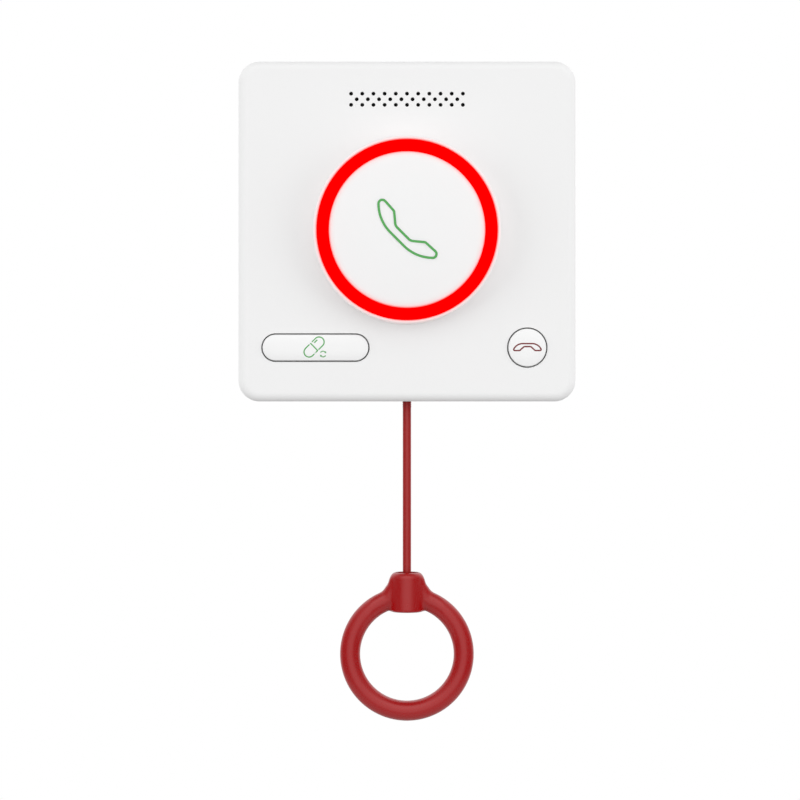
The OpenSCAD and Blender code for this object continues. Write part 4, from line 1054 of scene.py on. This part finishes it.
def place_screws(tree, given):
    """Puts a screw at every point, turned at random about its own line."""
    turn = add(tree, "FunctionNodeRandomValue", {2: 0.0, 3: (given, "Most turn"), "Seed": (given, "Seed")},
               data_type="FLOAT")
    about = add(tree, "ShaderNodeCombineXYZ", {"Y": (turn, 1)})
    rotation = add(tree, "FunctionNodeEulerToRotation", {"Euler": (about, 0)})
    pattern = add(tree, "GeometryNodeObjectInfo", {"Object": (given, "Screw")})
    screws = add(tree, "GeometryNodeInstanceOnPoints", {
        "Points": (given, "Geometry"), "Instance": (pattern, "Geometry"), "Rotation": (rotation, 0),
    })
    real = add(tree, "GeometryNodeRealizeInstances", {"Geometry": (screws, 0)})
    finished = add(tree, "GeometryNodeSetMaterial", {"Geometry": (real, 0), "Material": (given, "Material")})
    return finished, 0


def four(x, y):
    """The four points at those distances from the middle."""
    return [(sx * x, sy * y) for sx in (-1, 1) for sy in (-1, 1)]


corner_x = housing_w / 2 - corner_r
corner_y = housing_h / 2 - corner_r
# Of each kind: its node, where its screws are, radius and height of the head, radius of the
# shank, and the depths of the head's rim and of the point
for node, places, head_r, head_h, shank_r, seat, end in (
    ("case_screws", four(corner_x, corner_y), 2.7, 1.8, 1.35, 2, 18),
    ("frame_screws", four(27.15, 27.15), 2.2, 1.3, 1.15, 22.3, 27),
    ("board_screws", four(45, 26), 2.3, 1.4, 1.15, 14.6, 6.6),
    ("terminal_screws", [(5 * k, 0) for k in range(-3, 4)], 1.6, 1.2, 1.2, 5.9, 7.7),
    ("speaker_screws", [(-24.5, 41.3), (10.5, 41.3)], 1.8, 1.1, 0.85, 21.3, 25.8),
    ("guide_screws", [(-6.8, -53.5), (-6.8, -41), (15, -40)], 2, 1.2, 1.15, 10.8, 4.4),
    ("switch_screws", [(14.3, -53.6), (14.3, -45.6)], 1.6, 1, 0.85, 19.9, 11.5),
):
    pattern = piece("screw", screw("screw", head_r, head_h, shank_r, seat, end), zinc)
    points = bpy.data.meshes.new(node)
    points.from_pydata([panel(x, y, 0) for x, y in places], [], [])
    mesh = grow(node, points, [
        ("Screw", "Object", pattern), ("Most turn", "Float", pi / 2), ("Seed", "Int", 4),
        ("Material", "Material", zinc),
    ], place_screws)
    bpy.data.objects.remove(pattern)
    made = piece("detailed_" + node, tidy(mesh), zinc)
    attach(made, "housing")
    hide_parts(node)


# Springs and return boots. Four wire springs push the call button out, silicone boots push the small ones,
# and one spring lifts the carrier.
def give_way(made):
    """Gives a piece its own copy of its mesh."""
    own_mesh(made)


silicone = moulded("grey_silicone", "#9ea0a3", 0.6, 1.0, 0.004)
springs = copied("call_return_springs", "call_springs", spring_steel)
give_way(springs)
for node, joint, x in (
    ("medicine_boot", "medicine_press", medicine_x), ("cancel_boot", "cancel_press", cancel_x),
):
    boot = copied("silicone_" + node, node, silicone)
    give_way(boot)
spring = copied("carrier_return_spring", "return_spring", spring_steel)
give_way(spring)

# Plastic and rubber pieces inside, hidden apart from what shows through the cable opening. Each
# has the finish of its own material: moulded nylon, lacquered board, epoxy, foam, rubber or PVC.
black_nylon = moulded("black_nylon", "#1b1b1d", 0.45, 0.5, 0.006)
ivory_nylon = moulded("ivory_nylon", "#e2ddcb", 0.45, 0.6, 0.005)
green_nylon = moulded("green_nylon", "#3a8a4c", 0.45, 0.6, 0.005)
red_nylon = moulded("red_nylon", "#b42018", 0.4, 0.5, 0.004)
laminate = moulded("green_solder_mask", "#0f5a30", 0.25, 2.5, 0.02, shade=0.3)
led_epoxy = moulded("led_epoxy", "#f0e3b8", 0.2, 0.6, 0.004)
chip_epoxy = moulded("chip_epoxy", "#1a1a1a", 0.6, 0.2, 0.006)
coated_paper = moulded("coated_cone_paper", "#161618", 0.7, 0.4, 0.02)
foam = moulded("closed_cell_foam", "#171717", 0.9, 0.5, 0.1)
dust_cloth = moulded("woven_dust_cloth", "#0c0c0d", 0.85, 0.3, 0.05)
rubber = moulded("moulded_rubber", "#141414", 0.65, 0.6, 0.01)
red_pvc = moulded("red_wire_pvc", "#9e1c18", 0.4, 0.6, 0.004)
black_pvc = moulded("black_wire_pvc", "#151515", 0.4, 0.6, 0.004)
dress(silicone, "case_gasket")
dress(black_nylon, "call_stem", "medicine_stem", "cancel_stem", "tact_switches", "speaker_frame",
      "cord_bush", "cord_carrier", "microswitch")
dress(ivory_nylon, "board_connectors", "pull_guide", "guide_cap")
dress(green_nylon, "terminal_block")
dress(red_nylon, "switch_plunger")
dress(laminate, "main_board")
dress(led_epoxy, "ring_leds")
dress(chip_epoxy, "board_chips")
dress(coated_paper, "speaker_cone")
dress(foam, "speaker_gasket")
dress(dust_cloth, "grille_mesh", "microphone")
dress(rubber, "microphone_boot")
dress(red_pvc, "audio_leads")
dress(black_pvc, "switch_leads")
